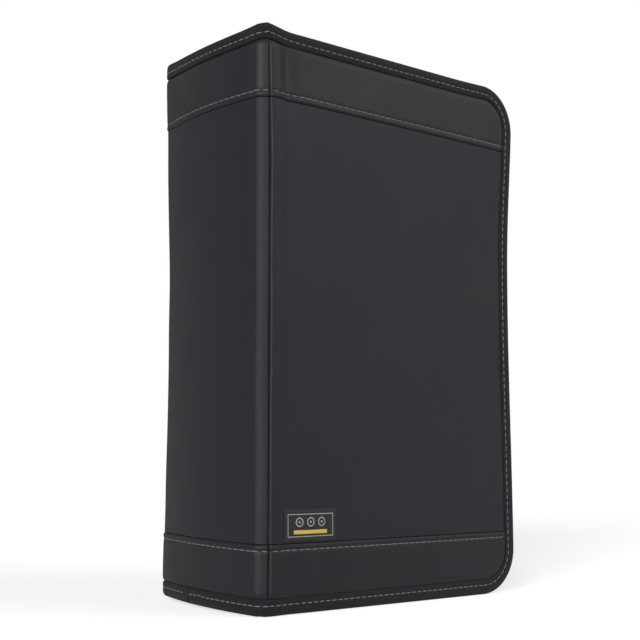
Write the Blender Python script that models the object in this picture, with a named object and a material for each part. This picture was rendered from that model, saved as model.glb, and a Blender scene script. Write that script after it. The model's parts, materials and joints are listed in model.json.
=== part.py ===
"""Zip-round disc wallet: padded covers on a spine, a gusseted zip round three sides, sleeve pages inside.

Frame: origin at the bottom centre of the closed case, +Z up the spine, +X from the spine to the
fore-edge, front cover facing -Y. All lengths are metres.
"""
import math

import bpy
import bmesh

# Closed case
CASE_HEIGHT = 0.292
CASE_DEPTH = 0.091
COVER_WIDTH = 0.180
COVER_CORNER_RADIUS = 0.025
SPINE_CORNER_RADIUS = 0.0055
SPINE_CROWN = 0.004

# Clearance between pieces that touch on the real case
FIT_GAP = 0.0003
SEAM_GAP = 0.0004

# Thickness of each layer
BINDING_TAPE = 0.0007
BAND_CLOTH = 0.0011
PANEL_CLOTH = 0.0007
COVER_FOAM = 0.0014
BOARD = 0.0012
LINING = 0.0005
GUSSET_CLOTH = 0.0008
PATCH_CLOTH = 0.0006
HINGE_CLOTH = 0.0012

# Bindings, bands and label patch
BINDING_WIDTH = 0.008
TOP_BAND_HEIGHT = 0.036
BOTTOM_BAND_HEIGHT = 0.035
PATCH_WIDTH = 0.0335
PATCH_HEIGHT = 0.016
PATCH_FROM_HINGE = 0.0087
PATCH_ABOVE_BAND = 0.0008

# Zip fastener
ZIP_INSET = 0.005
ZIP_TAPE_THICKNESS = 0.0005
ZIP_TAPE_WIDTH = 0.011
CHAIN_HALF_WIDTH = 0.0018
CHAIN_THICKNESS = 0.0016
CHAIN_HALF_SPACING = 0.0016
GUSSET_OVERLAP = 0.006
ZIP_END_LENGTH = 0.0253
ZIP_END_CHAIN_START = 0.0065
ZIP_STOP_LENGTH = 0.002
SLIDER_PARK = 0.0200
SLIDER_LENGTH = 0.010
SLIDER_PLATE = 0.001
SLIDER_LIP = 0.0010
SLIDER_POST_WIDTH = 0.001
SLIDER_POST_LENGTH = 0.0025
PULL_LENGTH = 0.026
PULL_WIDTH = 0.007
PULL_THICKNESS = 0.001
PULL_PIVOT_FROM_PARK = -0.001
BRIDGE_WIDTH = 0.0016
BRIDGE_BAR = 0.0008
EYE_SIDE_CLEARANCE = 0.0005

# Sleeve pages
PAGE_BLOCK_DEPTH = 0.060
PAGE_CORNER_CLEARANCE = 0.0015
PAGE_LEAVES = 16
PAGE_NOTCH = 0.002
ANCHOR_WIDTH = 0.004

# Number of flat facets in each rounded stretch
CORNER_FACETS = 10
CROWN_FACETS = 16
SPINE_CORNER_FACETS = 6
BRIDGE_FACETS = 8

# Values worked out from the sizes above
HALF_DEPTH = CASE_DEPTH / 2
SKIN_FRONT = BINDING_TAPE + FIT_GAP
SKIN_BACK = SKIN_FRONT + BAND_CLOTH
FOAM_FRONT = SKIN_BACK + FIT_GAP
FOAM_BACK = FOAM_FRONT + COVER_FOAM
BOARD_FRONT = FOAM_BACK + FIT_GAP
BOARD_BACK = BOARD_FRONT + BOARD
LINING_FRONT = BOARD_BACK + FIT_GAP
LINING_BACK = LINING_FRONT + LINING
COVER_THICKNESS = LINING_BACK + FIT_GAP + BINDING_TAPE

CROWN_SLOPE = math.atan2(2 * SPINE_CROWN, HALF_DEPTH - SPINE_CORNER_RADIUS)
CORNER_SWEEP = math.pi / 2 - CROWN_SLOPE
CORNER_REACH = SPINE_CORNER_RADIUS * math.sin(CORNER_SWEEP)
CROWN_HALF = HALF_DEPTH - SPINE_CORNER_RADIUS * (1 - math.cos(CORNER_SWEEP))
SPINE_REACH = CORNER_REACH + SPINE_CROWN
HINGE_X = (SPINE_REACH - COVER_WIDTH) / 2

ZIP_TOP = CASE_HEIGHT - ZIP_INSET
CHAIN_INNER = CHAIN_HALF_SPACING / 2
CHAIN_OUTER = CHAIN_INNER + CHAIN_HALF_WIDTH
TAPE_INNER = CHAIN_OUTER + FIT_GAP
TAPE_OUTER = TAPE_INNER + ZIP_TAPE_WIDTH
GUSSET_INNER = TAPE_OUTER - GUSSET_OVERLAP
GUSSET_OUTER = HALF_DEPTH - COVER_THICKNESS - FIT_GAP
GUSSET_FACE = ZIP_INSET - ZIP_TAPE_THICKNESS / 2 - FIT_GAP - GUSSET_CLOTH
GUSSET_BACK = GUSSET_FACE + GUSSET_CLOTH
PAGE_CORNER_RADIUS = COVER_CORNER_RADIUS - GUSSET_BACK - PAGE_CORNER_CLEARANCE
PAGE_INSET = COVER_CORNER_RADIUS - PAGE_CORNER_RADIUS * math.sqrt(0.5)


def clear_scene():
    """Remove whatever the file opened with."""
    for old in list(bpy.data.objects):
        bpy.data.objects.remove(old, do_unlink=True)


def make_material(name, colour, roughness, metallic=0.0):
    """One Principled material."""
    material = bpy.data.materials.new(name)
    material.use_nodes = True
    shader = material.node_tree.nodes["Principled BSDF"]
    shader.inputs["Base Color"].default_value = (*colour, 1.0)
    shader.inputs["Roughness"].default_value = roughness
    shader.inputs["Metallic"].default_value = metallic
    return material


def make_materials():
    """The finishes of the case, by name."""
    return {
        "panel": make_material("nylon_panel", (0.040, 0.036, 0.044), 0.75),
        "band": make_material("nylon_satin", (0.048, 0.043, 0.050), 0.55),
        "binding": make_material("ribbed_binding", (0.020, 0.018, 0.018), 0.85),
        "hinge": make_material("hinge_nylon", (0.055, 0.052, 0.056), 0.65),
        "foam": make_material("foam", (0.30, 0.30, 0.30), 0.95),
        "board": make_material("board", (0.35, 0.28, 0.20), 0.9),
        "lining": make_material("lining", (0.025, 0.025, 0.028), 0.85),
        "gusset": make_material("gusset_nylon", (0.030, 0.028, 0.032), 0.75),
        "tape": make_material("zip_tape", (0.018, 0.018, 0.020), 0.8),
        "chain": make_material("zip_chain", (0.020, 0.020, 0.022), 0.45),
        "metal": make_material("dark_metal", (0.060, 0.060, 0.065), 0.35, 0.9),
        "patch": make_material("patch", (0.015, 0.015, 0.015), 0.6),
        "pages": make_material("sleeve_film", (0.30, 0.30, 0.32), 0.35),
    }


def add_object(name, bm, material, carrier=None):
    """Turn a bmesh into a named object that hangs on its carrier."""
    bmesh.ops.recalc_face_normals(bm, faces=bm.faces)
    mesh = bpy.data.meshes.new(name)
    bm.to_mesh(mesh)
    bm.free()
    mesh.materials.append(material)
    obj = bpy.data.objects.new(name, mesh)
    bpy.context.scene.collection.objects.link(obj)
    if carrier is not None:
        obj.parent = carrier
        obj.location = -carrier.location
    return obj


def add_carrier(name, place):
    """An empty on a joint's axis."""
    carrier = bpy.data.objects.new(name, None)
    carrier.location = place
    bpy.context.scene.collection.objects.link(carrier)
    return carrier


def prism(name, outline, axis, low, high, material, carrier=None):
    """Extrude a closed outline along X, Y or Z. The outline gives the other two coordinates in order."""
    bm = bmesh.new()
    slots = {"X": lambda a, b, c: (c, a, b), "Y": lambda a, b, c: (a, c, b), "Z": lambda a, b, c: (a, b, c)}
    place = slots[axis]
    bottom = [bm.verts.new(place(a, b, low)) for a, b in outline]
    top = [bm.verts.new(place(a, b, high)) for a, b in outline]
    bm.faces.new(bottom)
    bm.faces.new(top)
    for index in range(len(outline)):
        after = (index + 1) % len(outline)
        bm.faces.new((bottom[index], bottom[after], top[after], top[index]))
    return add_object(name, bm, material, carrier)


def block(name, x_range, y_range, z_range, material, carrier=None):
    """A plain rectangular piece."""
    outline = [(x_range[0], y_range[0]), (x_range[1], y_range[0]), (x_range[1], y_range[1]),
               (x_range[0], y_range[1])]
    return prism(name, outline, "Z", z_range[0], z_range[1], material, carrier)


def cut(obj, cutter):
    """Subtract a cutter that is then thrown away."""
    apply_boolean(obj, cutter, "DIFFERENCE")


def fuse(obj, other):
    """Unite a piece with another that is then thrown away."""
    apply_boolean(obj, other, "UNION")


def apply_boolean(obj, other, operation):
    """Apply one exact Boolean and remove its second object."""
    modifier = obj.modifiers.new("boolean", "BOOLEAN")
    modifier.operation = operation
    modifier.solver = "EXACT"
    modifier.object = other
    bpy.context.view_layer.update()
    evaluated = obj.evaluated_get(bpy.context.evaluated_depsgraph_get())
    result = bpy.data.meshes.new_from_object(evaluated)
    obj.modifiers.remove(modifier)
    obj.data = result
    bpy.data.objects.remove(other, do_unlink=True)


def corner_arc(centre, radius, start, end, facets):
    """Points along an arc, both ends included."""
    angles = [start + (end - start) * step / facets for step in range(facets + 1)]
    return [(centre[0] + radius * math.cos(a), centre[1] + radius * math.sin(a)) for a in angles]


def edge_path(inset, x_start):
    """Open path round the three free edges at an inset, from the hinge end at the top to the bottom."""
    far = HINGE_X + COVER_WIDTH
    radius = COVER_CORNER_RADIUS - inset
    centre_x = far - COVER_CORNER_RADIUS
    top_centre = (centre_x, CASE_HEIGHT - COVER_CORNER_RADIUS)
    bottom_centre = (centre_x, COVER_CORNER_RADIUS)
    path = [(HINGE_X + x_start, CASE_HEIGHT - inset)]
    path += corner_arc(top_centre, radius, math.pi / 2, 0.0, CORNER_FACETS)
    path += corner_arc(bottom_centre, radius, 0.0, -math.pi / 2, CORNER_FACETS)
    path.append((HINGE_X + x_start, inset))
    return path


def edge_sweep(name, section, x_start, material, carrier):
    """Sweep a closed section of (inset, y) points round the three free edges."""
    bm = bmesh.new()
    paths = [edge_path(inset, x_start) for inset, _ in section]
    count = len(section)
    rings = []
    for station in range(len(paths[0])):
        ring = [bm.verts.new((paths[k][station][0], section[k][1], paths[k][station][1])) for k in range(count)]
        rings.append(ring)
    for near, far in zip(rings, rings[1:]):
        for k in range(count):
            after = (k + 1) % count
            bm.faces.new((near[k], near[after], far[after], far[k]))
    bm.faces.new(rings[0])
    bm.faces.new(rings[-1])
    return add_object(name, bm, material, carrier)


def cover_y(side, depth):
    """The y of a depth below a cover's outer face; side is -1 in front and 1 at the back."""
    return side * (HALF_DEPTH - depth)


def cover_layer(name, side, front, back, inset, z_low, z_high, material, carrier):
    """One flat layer of a cover between two heights, rounded where it reaches the case's corners."""
    far = HINGE_X + COVER_WIDTH
    near = HINGE_X + SEAM_GAP
    radius = COVER_CORNER_RADIUS - inset
    centre_x = far - COVER_CORNER_RADIUS
    outline = [(near, z_low)]
    if z_low < COVER_CORNER_RADIUS:
        outline += corner_arc((centre_x, COVER_CORNER_RADIUS), radius, -math.pi / 2, 0.0, CORNER_FACETS)
    else:
        outline.append((far - inset, z_low))
    if z_high > CASE_HEIGHT - COVER_CORNER_RADIUS:
        top = (centre_x, CASE_HEIGHT - COVER_CORNER_RADIUS)
        outline += corner_arc(top, radius, 0.0, math.pi / 2, CORNER_FACETS)
    else:
        outline.append((far - inset, z_high))
    outline.append((near, z_high))
    low, high = sorted((cover_y(side, front), cover_y(side, back)))
    return prism(name, outline, "Y", low, high, material, carrier)


def make_cover(prefix, side, carrier, materials):
    """Panels, padding, board, lining and edge binding of one cover."""
    skin_inset = BINDING_TAPE + FIT_GAP
    top_seam = CASE_HEIGHT - TOP_BAND_HEIGHT
    top = CASE_HEIGHT - skin_inset
    cover_layer(prefix + "_centre_panel", side, SKIN_BACK - PANEL_CLOTH, SKIN_BACK, skin_inset,
                BOTTOM_BAND_HEIGHT + FIT_GAP, top_seam - FIT_GAP, materials["panel"], carrier)
    cover_layer(prefix + "_top_band", side, SKIN_FRONT, SKIN_BACK, skin_inset,
                top_seam, top, materials["band"], carrier)
    cover_layer(prefix + "_bottom_band", side, SKIN_FRONT, SKIN_BACK, skin_inset,
                skin_inset, BOTTOM_BAND_HEIGHT, materials["band"], carrier)
    cover_layer(prefix + "_foam", side, FOAM_FRONT, FOAM_BACK, skin_inset,
                skin_inset, top, materials["foam"], carrier)
    cover_layer(prefix + "_board", side, BOARD_FRONT, BOARD_BACK, skin_inset,
                skin_inset, top, materials["board"], carrier)
    cover_layer(prefix + "_lining", side, LINING_FRONT, LINING_BACK, skin_inset,
                skin_inset, top, materials["lining"], carrier)
    section = [(0.0, cover_y(side, 0.0)),
               (0.0, cover_y(side, COVER_THICKNESS)),
               (BINDING_WIDTH, cover_y(side, COVER_THICKNESS)),
               (BINDING_WIDTH, cover_y(side, COVER_THICKNESS - BINDING_TAPE)),
               (BINDING_TAPE, cover_y(side, COVER_THICKNESS - BINDING_TAPE)),
               (BINDING_TAPE, cover_y(side, BINDING_TAPE)),
               (BINDING_WIDTH, cover_y(side, BINDING_TAPE)),
               (BINDING_WIDTH, cover_y(side, 0.0))]
    edge_sweep(prefix + "_edge_binding", section, SEAM_GAP, materials["binding"], carrier)


def make_zip_half(prefix, side, carrier, materials):
    """Gusset, tape half and chain half that run round three edges with one cover."""
    start = ZIP_END_LENGTH + FIT_GAP
    gusset = [(GUSSET_FACE, side * GUSSET_OUTER), (GUSSET_BACK, side * GUSSET_OUTER),
              (GUSSET_BACK, side * GUSSET_INNER), (GUSSET_FACE, side * GUSSET_INNER)]
    edge_sweep(prefix + "_gusset", gusset, start, materials["gusset"], carrier)
    half = ZIP_TAPE_THICKNESS / 2
    tape = [(ZIP_INSET - half, side * TAPE_OUTER), (ZIP_INSET + half, side * TAPE_OUTER),
            (ZIP_INSET + half, side * TAPE_INNER), (ZIP_INSET - half, side * TAPE_INNER)]
    edge_sweep(prefix + "_zip_tape", tape, start, materials["tape"], carrier)
    half = CHAIN_THICKNESS / 2
    chain = [(ZIP_INSET - half, side * CHAIN_OUTER), (ZIP_INSET + half, side * CHAIN_OUTER),
             (ZIP_INSET + half, side * CHAIN_INNER), (ZIP_INSET - half, side * CHAIN_INNER)]
    edge_sweep(prefix + "_zip_chain", chain, start, materials["chain"], carrier)


def make_label_patch(carrier, materials):
    """Sewn patch at the lower hinge corner of the front cover."""
    back = SKIN_BACK - PANEL_CLOTH - FIT_GAP
    left = HINGE_X + PATCH_FROM_HINGE
    low = BOTTOM_BAND_HEIGHT + PATCH_ABOVE_BAND
    y_low = cover_y(-1, back - PATCH_CLOTH)
    y_high = cover_y(-1, back)
    block("front_label_patch", (left, left + PATCH_WIDTH), (y_low, y_high), (low, low + PATCH_HEIGHT),
          materials["patch"], carrier)


def spine_corner(side, offset):
    """Corner arc of the spine from its seam to its crown, offset inwards."""
    centre = (HINGE_X, side * (HALF_DEPTH - SPINE_CORNER_RADIUS))
    start = side * math.pi / 2
    end = start + side * CORNER_SWEEP
    return corner_arc(centre, SPINE_CORNER_RADIUS - offset, start, end, SPINE_CORNER_FACETS)


def spine_crown(offset, half_width):
    """Crowned back of the spine from the front to the back, offset inwards."""
    points = []
    for step in range(CROWN_FACETS + 1):
        y = half_width * (2 * step / CROWN_FACETS - 1)
        rise = SPINE_CROWN * (1 - (y / CROWN_HALF) ** 2)
        points.append((HINGE_X - CORNER_REACH - rise + offset, y))
    return points


def spine_outline(offset, seam_gap):
    """Outer curve of the spine from seam to seam, its ends moved off the hinge lines."""
    front = spine_corner(-1, offset)
    back = spine_corner(1, offset)
    crown = spine_crown(offset, CROWN_HALF)[1:-1]
    front[0] = (front[0][0] - seam_gap, front[0][1])
    back[0] = (back[0][0] - seam_gap, back[0][1])
    return front + crown + list(reversed(back))


def make_spine_binding(name, mouth, floor, closed, materials):
    """Binding folded round one end of the spine: a cap whose slot, open at its mouth, takes the layers."""
    inner = HINGE_X + SEAM_GAP
    shoulder = HALF_DEPTH - COVER_THICKNESS - SEAM_GAP
    seam = HINGE_X - SEAM_GAP
    wall = BINDING_TAPE
    outline = spine_outline(0.0, SEAM_GAP)
    outline += [(seam, shoulder), (inner, shoulder), (inner, -shoulder), (seam, -shoulder)]
    slot = spine_outline(wall, SEAM_GAP + wall)
    slot += [(seam - wall, shoulder - wall), (inner - wall, shoulder - wall),
             (inner - wall, wall - shoulder), (seam - wall, wall - shoulder)]
    bm = bmesh.new()
    rings = []
    for points, z in ((outline, closed), (outline, mouth), (slot, mouth), (slot, floor)):
        rings.append([bm.verts.new((x, y, z)) for x, y in points])
    bm.faces.new(rings[0])
    bm.faces.new(rings[-1])
    for near, far in zip(rings, rings[1:]):
        for index in range(len(near)):
            after = (index + 1) % len(near)
            bm.faces.new((near[index], near[after], far[after], far[index]))
    add_object(name, bm, materials["binding"])


def make_spine(materials):
    """Panels, crowned padding, board, lining, bindings and hinge strips of the spine."""
    top_seam = CASE_HEIGHT - TOP_BAND_HEIGHT
    low = BINDING_TAPE + FIT_GAP
    top = CASE_HEIGHT - low
    skin_half = CROWN_HALF - 2 * FIT_GAP

    def skin(name, front, back, z_low, z_high, material):
        outline = spine_crown(front, skin_half) + list(reversed(spine_crown(back, skin_half)))
        prism(name, outline, "Z", z_low, z_high, material)

    skin("spine_centre_panel", SKIN_BACK - PANEL_CLOTH, SKIN_BACK, BOTTOM_BAND_HEIGHT + FIT_GAP,
         top_seam - FIT_GAP, materials["panel"])
    skin("spine_top_band", SKIN_FRONT, SKIN_BACK, top_seam, top, materials["band"])
    skin("spine_bottom_band", SKIN_FRONT, SKIN_BACK, low, BOTTOM_BAND_HEIGHT, materials["band"])

    inner = HINGE_X + SEAM_GAP - BINDING_TAPE - FIT_GAP
    layer_half = HALF_DEPTH - COVER_THICKNESS - SEAM_GAP - BINDING_TAPE - FIT_GAP
    lining_x = (inner - LINING, inner)
    board_x = (lining_x[0] - FIT_GAP - BOARD, lining_x[0] - FIT_GAP)
    foam_back = board_x[0] - FIT_GAP
    foam = spine_crown(SKIN_BACK + FIT_GAP, layer_half)
    foam += [(foam_back, layer_half), (foam_back, -layer_half)]
    prism("spine_foam", foam, "Z", low, top, materials["foam"])
    block("spine_board", board_x, (-layer_half, layer_half), (low, top), materials["board"])
    block("spine_lining", lining_x, (-layer_half, layer_half), (low, top), materials["lining"])

    make_spine_binding("spine_top_binding", CASE_HEIGHT - BINDING_WIDTH, CASE_HEIGHT - BINDING_TAPE,
                       CASE_HEIGHT, materials)
    make_spine_binding("spine_bottom_binding", BINDING_WIDTH, BINDING_TAPE, 0.0, materials)
    for prefix, side in (("front", -1), ("back", 1)):
        outer = spine_corner(side, FIT_GAP)
        under = spine_corner(side, FIT_GAP + HINGE_CLOTH)
        outer[0] = (outer[0][0] - SEAM_GAP, outer[0][1])
        under[0] = (under[0][0] - SEAM_GAP, under[0][1])
        prism(prefix + "_hinge_strip", outer + list(reversed(under)), "Z", BINDING_WIDTH + FIT_GAP,
              CASE_HEIGHT - BINDING_WIDTH - FIT_GAP, materials["hinge"])


def make_pages(materials):
    """Sleeve pages as one block with leaf edges, and the strip that they are sewn to."""
    low = PAGE_INSET
    high = CASE_HEIGHT - PAGE_INSET
    half = PAGE_BLOCK_DEPTH / 2
    anchor_start = HINGE_X + SEAM_GAP - BINDING_TAPE
    page_start = anchor_start + ANCHOR_WIDTH + FIT_GAP
    page_end = HINGE_X + COVER_WIDTH - PAGE_INSET
    block("page_anchor", (anchor_start, page_start - FIT_GAP), (-half, half), (low, high), materials["lining"])
    outline = [(page_start, -half)]
    leaf = PAGE_BLOCK_DEPTH / PAGE_LEAVES
    for index in range(PAGE_LEAVES):
        y = -half + index * leaf
        outline += [(page_end - PAGE_NOTCH, y), (page_end, y + leaf * 0.3), (page_end, y + leaf * 0.7)]
    outline += [(page_end - PAGE_NOTCH, half), (page_start, half)]
    prism("sleeve_pages", outline, "Z", low, high, materials["pages"])


def make_zip_end(prefix, upright, materials):
    """Where the zip is sewn to the spine: gusset end, tape ends, chain ends and a stop."""
    middle = ZIP_TOP if upright > 0 else ZIP_INSET
    start = HINGE_X + SEAM_GAP + FIT_GAP
    end = HINGE_X + ZIP_END_LENGTH
    notch = HINGE_X + SLIDER_PARK - SLIDER_LENGTH / 2 - 2 * FIT_GAP

    def span(low, high):
        return tuple(sorted((middle + upright * low, middle + upright * high)))

    outline = [(start, -GUSSET_OUTER), (end, -GUSSET_OUTER), (end, -GUSSET_INNER), (notch, -GUSSET_INNER),
               (notch, GUSSET_INNER), (end, GUSSET_INNER), (end, GUSSET_OUTER), (start, GUSSET_OUTER)]
    under = CHAIN_THICKNESS / 2 + FIT_GAP
    face = span(under, under + GUSSET_CLOTH)
    prism(prefix + "_gusset_end", outline, "Z", face[0], face[1], materials["gusset"])
    tape_z = span(-ZIP_TAPE_THICKNESS / 2, ZIP_TAPE_THICKNESS / 2)
    chain_z = span(-CHAIN_THICKNESS / 2, CHAIN_THICKNESS / 2)
    chain_start = HINGE_X + ZIP_END_CHAIN_START
    for name, side in (("front", -1), ("back", 1)):
        tape_y = tuple(sorted((side * TAPE_INNER, side * TAPE_OUTER)))
        chain_y = tuple(sorted((side * CHAIN_INNER, side * CHAIN_OUTER)))
        block(prefix + "_tape_end_" + name, (start, end), tape_y, tape_z, materials["tape"])
        block(prefix + "_chain_end_" + name, (chain_start, end), chain_y, chain_z, materials["chain"])
    stop_x = (chain_start - FIT_GAP - ZIP_STOP_LENGTH, chain_start - FIT_GAP)
    block(prefix + "_zip_stop", stop_x, (-CHAIN_OUTER, CHAIN_OUTER), chain_z, materials["metal"])


def slider_shell(name, upright, x_range, material, carrier):
    """One plate of the slider with a lip down each side."""
    gap = CHAIN_THICKNESS / 2 + FIT_GAP
    lip = ZIP_TAPE_THICKNESS / 2 + FIT_GAP
    inner = CHAIN_OUTER + FIT_GAP * 2
    outer = inner + SLIDER_LIP
    outline = [(-outer, lip), (-inner, lip), (-inner, gap), (inner, gap), (inner, lip), (outer, lip),
               (outer, gap + SLIDER_PLATE), (-outer, gap + SLIDER_PLATE)]
    placed = [(y, ZIP_TOP + upright * z) for y, z in outline]
    return prism(name, placed, "X", x_range[0], x_range[1], material, carrier)


def make_slider(carrier, materials):
    """Slider with its two plates, the post between them and the bridge that holds the pull."""
    centre = HINGE_X + SLIDER_PARK
    x_range = (centre - SLIDER_LENGTH / 2, centre + SLIDER_LENGTH / 2)
    plate_top = CHAIN_THICKNESS / 2 + FIT_GAP + SLIDER_PLATE
    metal = materials["metal"]
    slider = slider_shell("zip_slider", 1, x_range, metal, carrier)
    fuse(slider, slider_shell("lower_plate", -1, x_range, metal, carrier))
    overlap = SLIDER_PLATE / 2
    post_z = plate_top - overlap
    post_y = SLIDER_POST_WIDTH / 2
    fuse(slider, block("post", (x_range[0], x_range[0] + SLIDER_POST_LENGTH), (-post_y, post_y),
                       (ZIP_TOP - post_z, ZIP_TOP + post_z), metal, carrier))
    pivot_x, pivot_z = pull_pivot()
    inner = PULL_THICKNESS / 2 + FIT_GAP
    outer = inner + BRIDGE_BAR
    foot = ZIP_TOP + plate_top - overlap
    arch = [(pivot_x + outer, foot)] + corner_arc((pivot_x, pivot_z), outer, 0.0, math.pi, BRIDGE_FACETS)
    arch += [(pivot_x - outer, foot), (pivot_x - inner, foot)]
    arch += corner_arc((pivot_x, pivot_z), inner, math.pi, 0.0, BRIDGE_FACETS) + [(pivot_x + inner, foot)]
    fuse(slider, prism("bridge", arch, "Y", -BRIDGE_WIDTH / 2, BRIDGE_WIDTH / 2, metal, carrier))


def pull_pivot():
    """Where the pull's cross bar turns under the slider's bridge."""
    plate_top = CHAIN_THICKNESS / 2 + FIT_GAP + SLIDER_PLATE
    pivot_x = HINGE_X + SLIDER_PARK + PULL_PIVOT_FROM_PARK
    return pivot_x, ZIP_TOP + plate_top + FIT_GAP + PULL_THICKNESS / 2


def make_pull(carrier, materials):
    """Flat pull tab whose eye goes round the slider's bridge."""
    pivot_x, pivot_z = pull_pivot()
    half = PULL_WIDTH / 2
    start = pivot_x - PULL_THICKNESS / 2
    tip = pivot_x + PULL_LENGTH
    nose = corner_arc((tip - half, 0.0), half, -math.pi / 2, math.pi / 2, CORNER_FACETS)
    outline = [(start, -half)] + nose + [(start, half)]
    z_range = (pivot_z - PULL_THICKNESS / 2, pivot_z + PULL_THICKNESS / 2)
    pull = prism("pull_tab", outline, "Z", z_range[0], z_range[1], materials["metal"], carrier)
    eye_start = pivot_x + PULL_THICKNESS / 2
    eye_end = pivot_x + PULL_THICKNESS / 2 + 2 * FIT_GAP + BRIDGE_BAR + EYE_SIDE_CLEARANCE
    eye_half = BRIDGE_WIDTH / 2 + EYE_SIDE_CLEARANCE
    cutter_z = (z_range[0] - PULL_THICKNESS, z_range[1] + PULL_THICKNESS)
    cut(pull, block("eye", (eye_start, eye_end), (-eye_half, eye_half), cutter_z, materials["metal"], carrier))


def main():
    """Build the whole case."""
    clear_scene()
    materials = make_materials()
    for prefix, side in (("front", -1), ("back", 1)):
        carrier = add_carrier(prefix + "_hinge", (HINGE_X, side * HALF_DEPTH, 0.0))
        make_cover(prefix, side, carrier, materials)
        make_zip_half(prefix, side, carrier, materials)
        if side < 0:
            make_label_patch(carrier, materials)
    make_spine(materials)
    make_pages(materials)
    make_zip_end("top", 1, materials)
    make_zip_end("bottom", -1, materials)
    slider_carrier = add_carrier("slider_track", (HINGE_X + SLIDER_PARK, 0.0, ZIP_TOP))
    make_slider(slider_carrier, materials)
    pivot_x, pivot_z = pull_pivot()
    pull_carrier = add_carrier("pull_pivot", (pivot_x, 0.0, pivot_z))
    make_pull(pull_carrier, materials)


main()
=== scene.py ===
"""Looks of the disc storage case: cloth, bindings, stitching, zip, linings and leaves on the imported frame.

Laid out as an add-on and run as a script. All lengths are metres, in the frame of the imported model.
On a cover, x is the distance from its hinge seam. On the spine, along is the distance from its front seam.
"""
import json
import math

import bpy
import bmesh
import numpy as np
from mathutils import Matrix, Vector


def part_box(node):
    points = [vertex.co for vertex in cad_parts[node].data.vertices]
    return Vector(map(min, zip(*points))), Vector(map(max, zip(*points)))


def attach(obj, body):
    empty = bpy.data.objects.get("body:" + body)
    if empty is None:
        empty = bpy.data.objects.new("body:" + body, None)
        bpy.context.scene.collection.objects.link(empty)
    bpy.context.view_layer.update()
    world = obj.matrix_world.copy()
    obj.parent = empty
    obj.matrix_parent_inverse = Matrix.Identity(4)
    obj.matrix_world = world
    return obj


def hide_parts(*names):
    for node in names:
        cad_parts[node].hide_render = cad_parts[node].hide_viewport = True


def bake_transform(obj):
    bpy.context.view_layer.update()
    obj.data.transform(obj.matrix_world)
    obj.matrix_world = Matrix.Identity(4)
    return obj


bl_info = {
    "name": "Disc Storage Case",
    "version": (1, 0, 0),
    "blender": (4, 5, 0),
    "location": "View3D > Sidebar > Disc Case",
    "description": "Dresses the packed frame of a zip-round disc case with cloth, stitching, zip and sleeves",
    "category": "Object",
}

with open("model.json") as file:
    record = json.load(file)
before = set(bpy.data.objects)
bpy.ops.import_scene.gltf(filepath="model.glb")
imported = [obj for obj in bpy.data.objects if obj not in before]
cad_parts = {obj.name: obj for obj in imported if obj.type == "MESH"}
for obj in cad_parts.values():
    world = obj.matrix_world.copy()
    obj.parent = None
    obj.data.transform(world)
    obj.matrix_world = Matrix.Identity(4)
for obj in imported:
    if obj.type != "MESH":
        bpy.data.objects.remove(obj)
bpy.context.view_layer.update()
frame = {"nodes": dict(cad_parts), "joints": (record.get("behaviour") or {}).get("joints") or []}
MM = 0.001
PI = math.pi


def joint_place(name):
    """Where a joint's axis stands."""
    return next(Vector(joint["pos_m"]) for joint in frame["joints"] if joint["name"] == name)


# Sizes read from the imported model
HINGE_X = joint_place("front_cover_hinge").x
PIVOT = joint_place("pull_tab_hinge")
BINDING_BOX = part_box("front_edge_binding")
HEIGHT = BINDING_BOX[1].z
HALF_DEPTH = -BINDING_BOX[0].y
COVER_WIDTH = BINDING_BOX[1].x - HINGE_X
COVER_THICKNESS = BINDING_BOX[1].y - BINDING_BOX[0].y
SPINE_REACH = HINGE_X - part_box("spine_top_binding")[0].x
BINDING_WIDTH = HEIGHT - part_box("spine_top_binding")[0].z + 0.3 * MM
TOP_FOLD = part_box("front_top_band")[0].z
BOTTOM_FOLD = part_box("front_bottom_band")[1].z
BAND_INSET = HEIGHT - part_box("front_top_band")[1].z
PANEL_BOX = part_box("front_centre_panel")
PATCH_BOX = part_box("front_label_patch")
PATCH_WIDTH, _, PATCH_HEIGHT = PATCH_BOX[1] - PATCH_BOX[0]
TAPE_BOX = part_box("back_zip_tape")
GUSSET_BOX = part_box("back_gusset")
STOP_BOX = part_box("top_zip_stop")
ZIP_Z = (STOP_BOX[0].z + STOP_BOX[1].z) / 2
CHAIN_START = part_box("top_chain_end_back")[0].x
PAGE_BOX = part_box("sleeve_pages")
LINING_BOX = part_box("front_lining")
SPINE_LINING_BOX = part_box("spine_lining")

SIDES = (("front", -1), ("back", 1))
ENDS = (("top", 1), ("bottom", -1))
FOLDS = ((TOP_FOLD, 1), (BOTTOM_FOLD, -1))

# Sizes of the soft forms
TUCK = 2.4 * MM             # how far outer cloths stop short of the case's edge, under the bindings
HELD_LEVEL = -0.95 * MM     # level of cloth held under a binding
BAND_SINK = 0.22 * MM       # how far topstitches sink into a band
SEAM_GAP = 0.07 * MM        # half of the gap along a hinge seam
CORNER_DROP = 5.2 * MM      # reach of the spine's corner strips in x
CORNER_DEPTH = 4.5 * MM     # reach of the spine's corner strips in y
TAPE_LIFT = 0.35 * MM       # how far the spine's tapes stand out
JOIN_AT = 58.5 * MM         # where the ends of the bottom tape meet, along the spine
STRIP_START = 0.7 * MM      # where side walls and zip tapes start, from the hinge
ROW_STEP = 1.05 * MM
COIL_PITCH = 1.7 * MM
COIL_REACH = 1.35 * MM      # from the middle of the zip to the middle of one coil
COIL_FROM = 19 * MM         # where the coils start, from the hinge
LEAVES = 16
LEAF_TRIM = 0.5 * MM


def length(name, description, value):
    """A length that the user can change."""
    return bpy.props.FloatProperty(name=name, description=description, default=value, unit="LENGTH")


def colour(name, description, value):
    """A colour that the user can change."""
    return bpy.props.FloatVectorProperty(
        name=name, description=description, default=value, size=3, subtype="COLOR", min=0.0, max=1.0)


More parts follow.
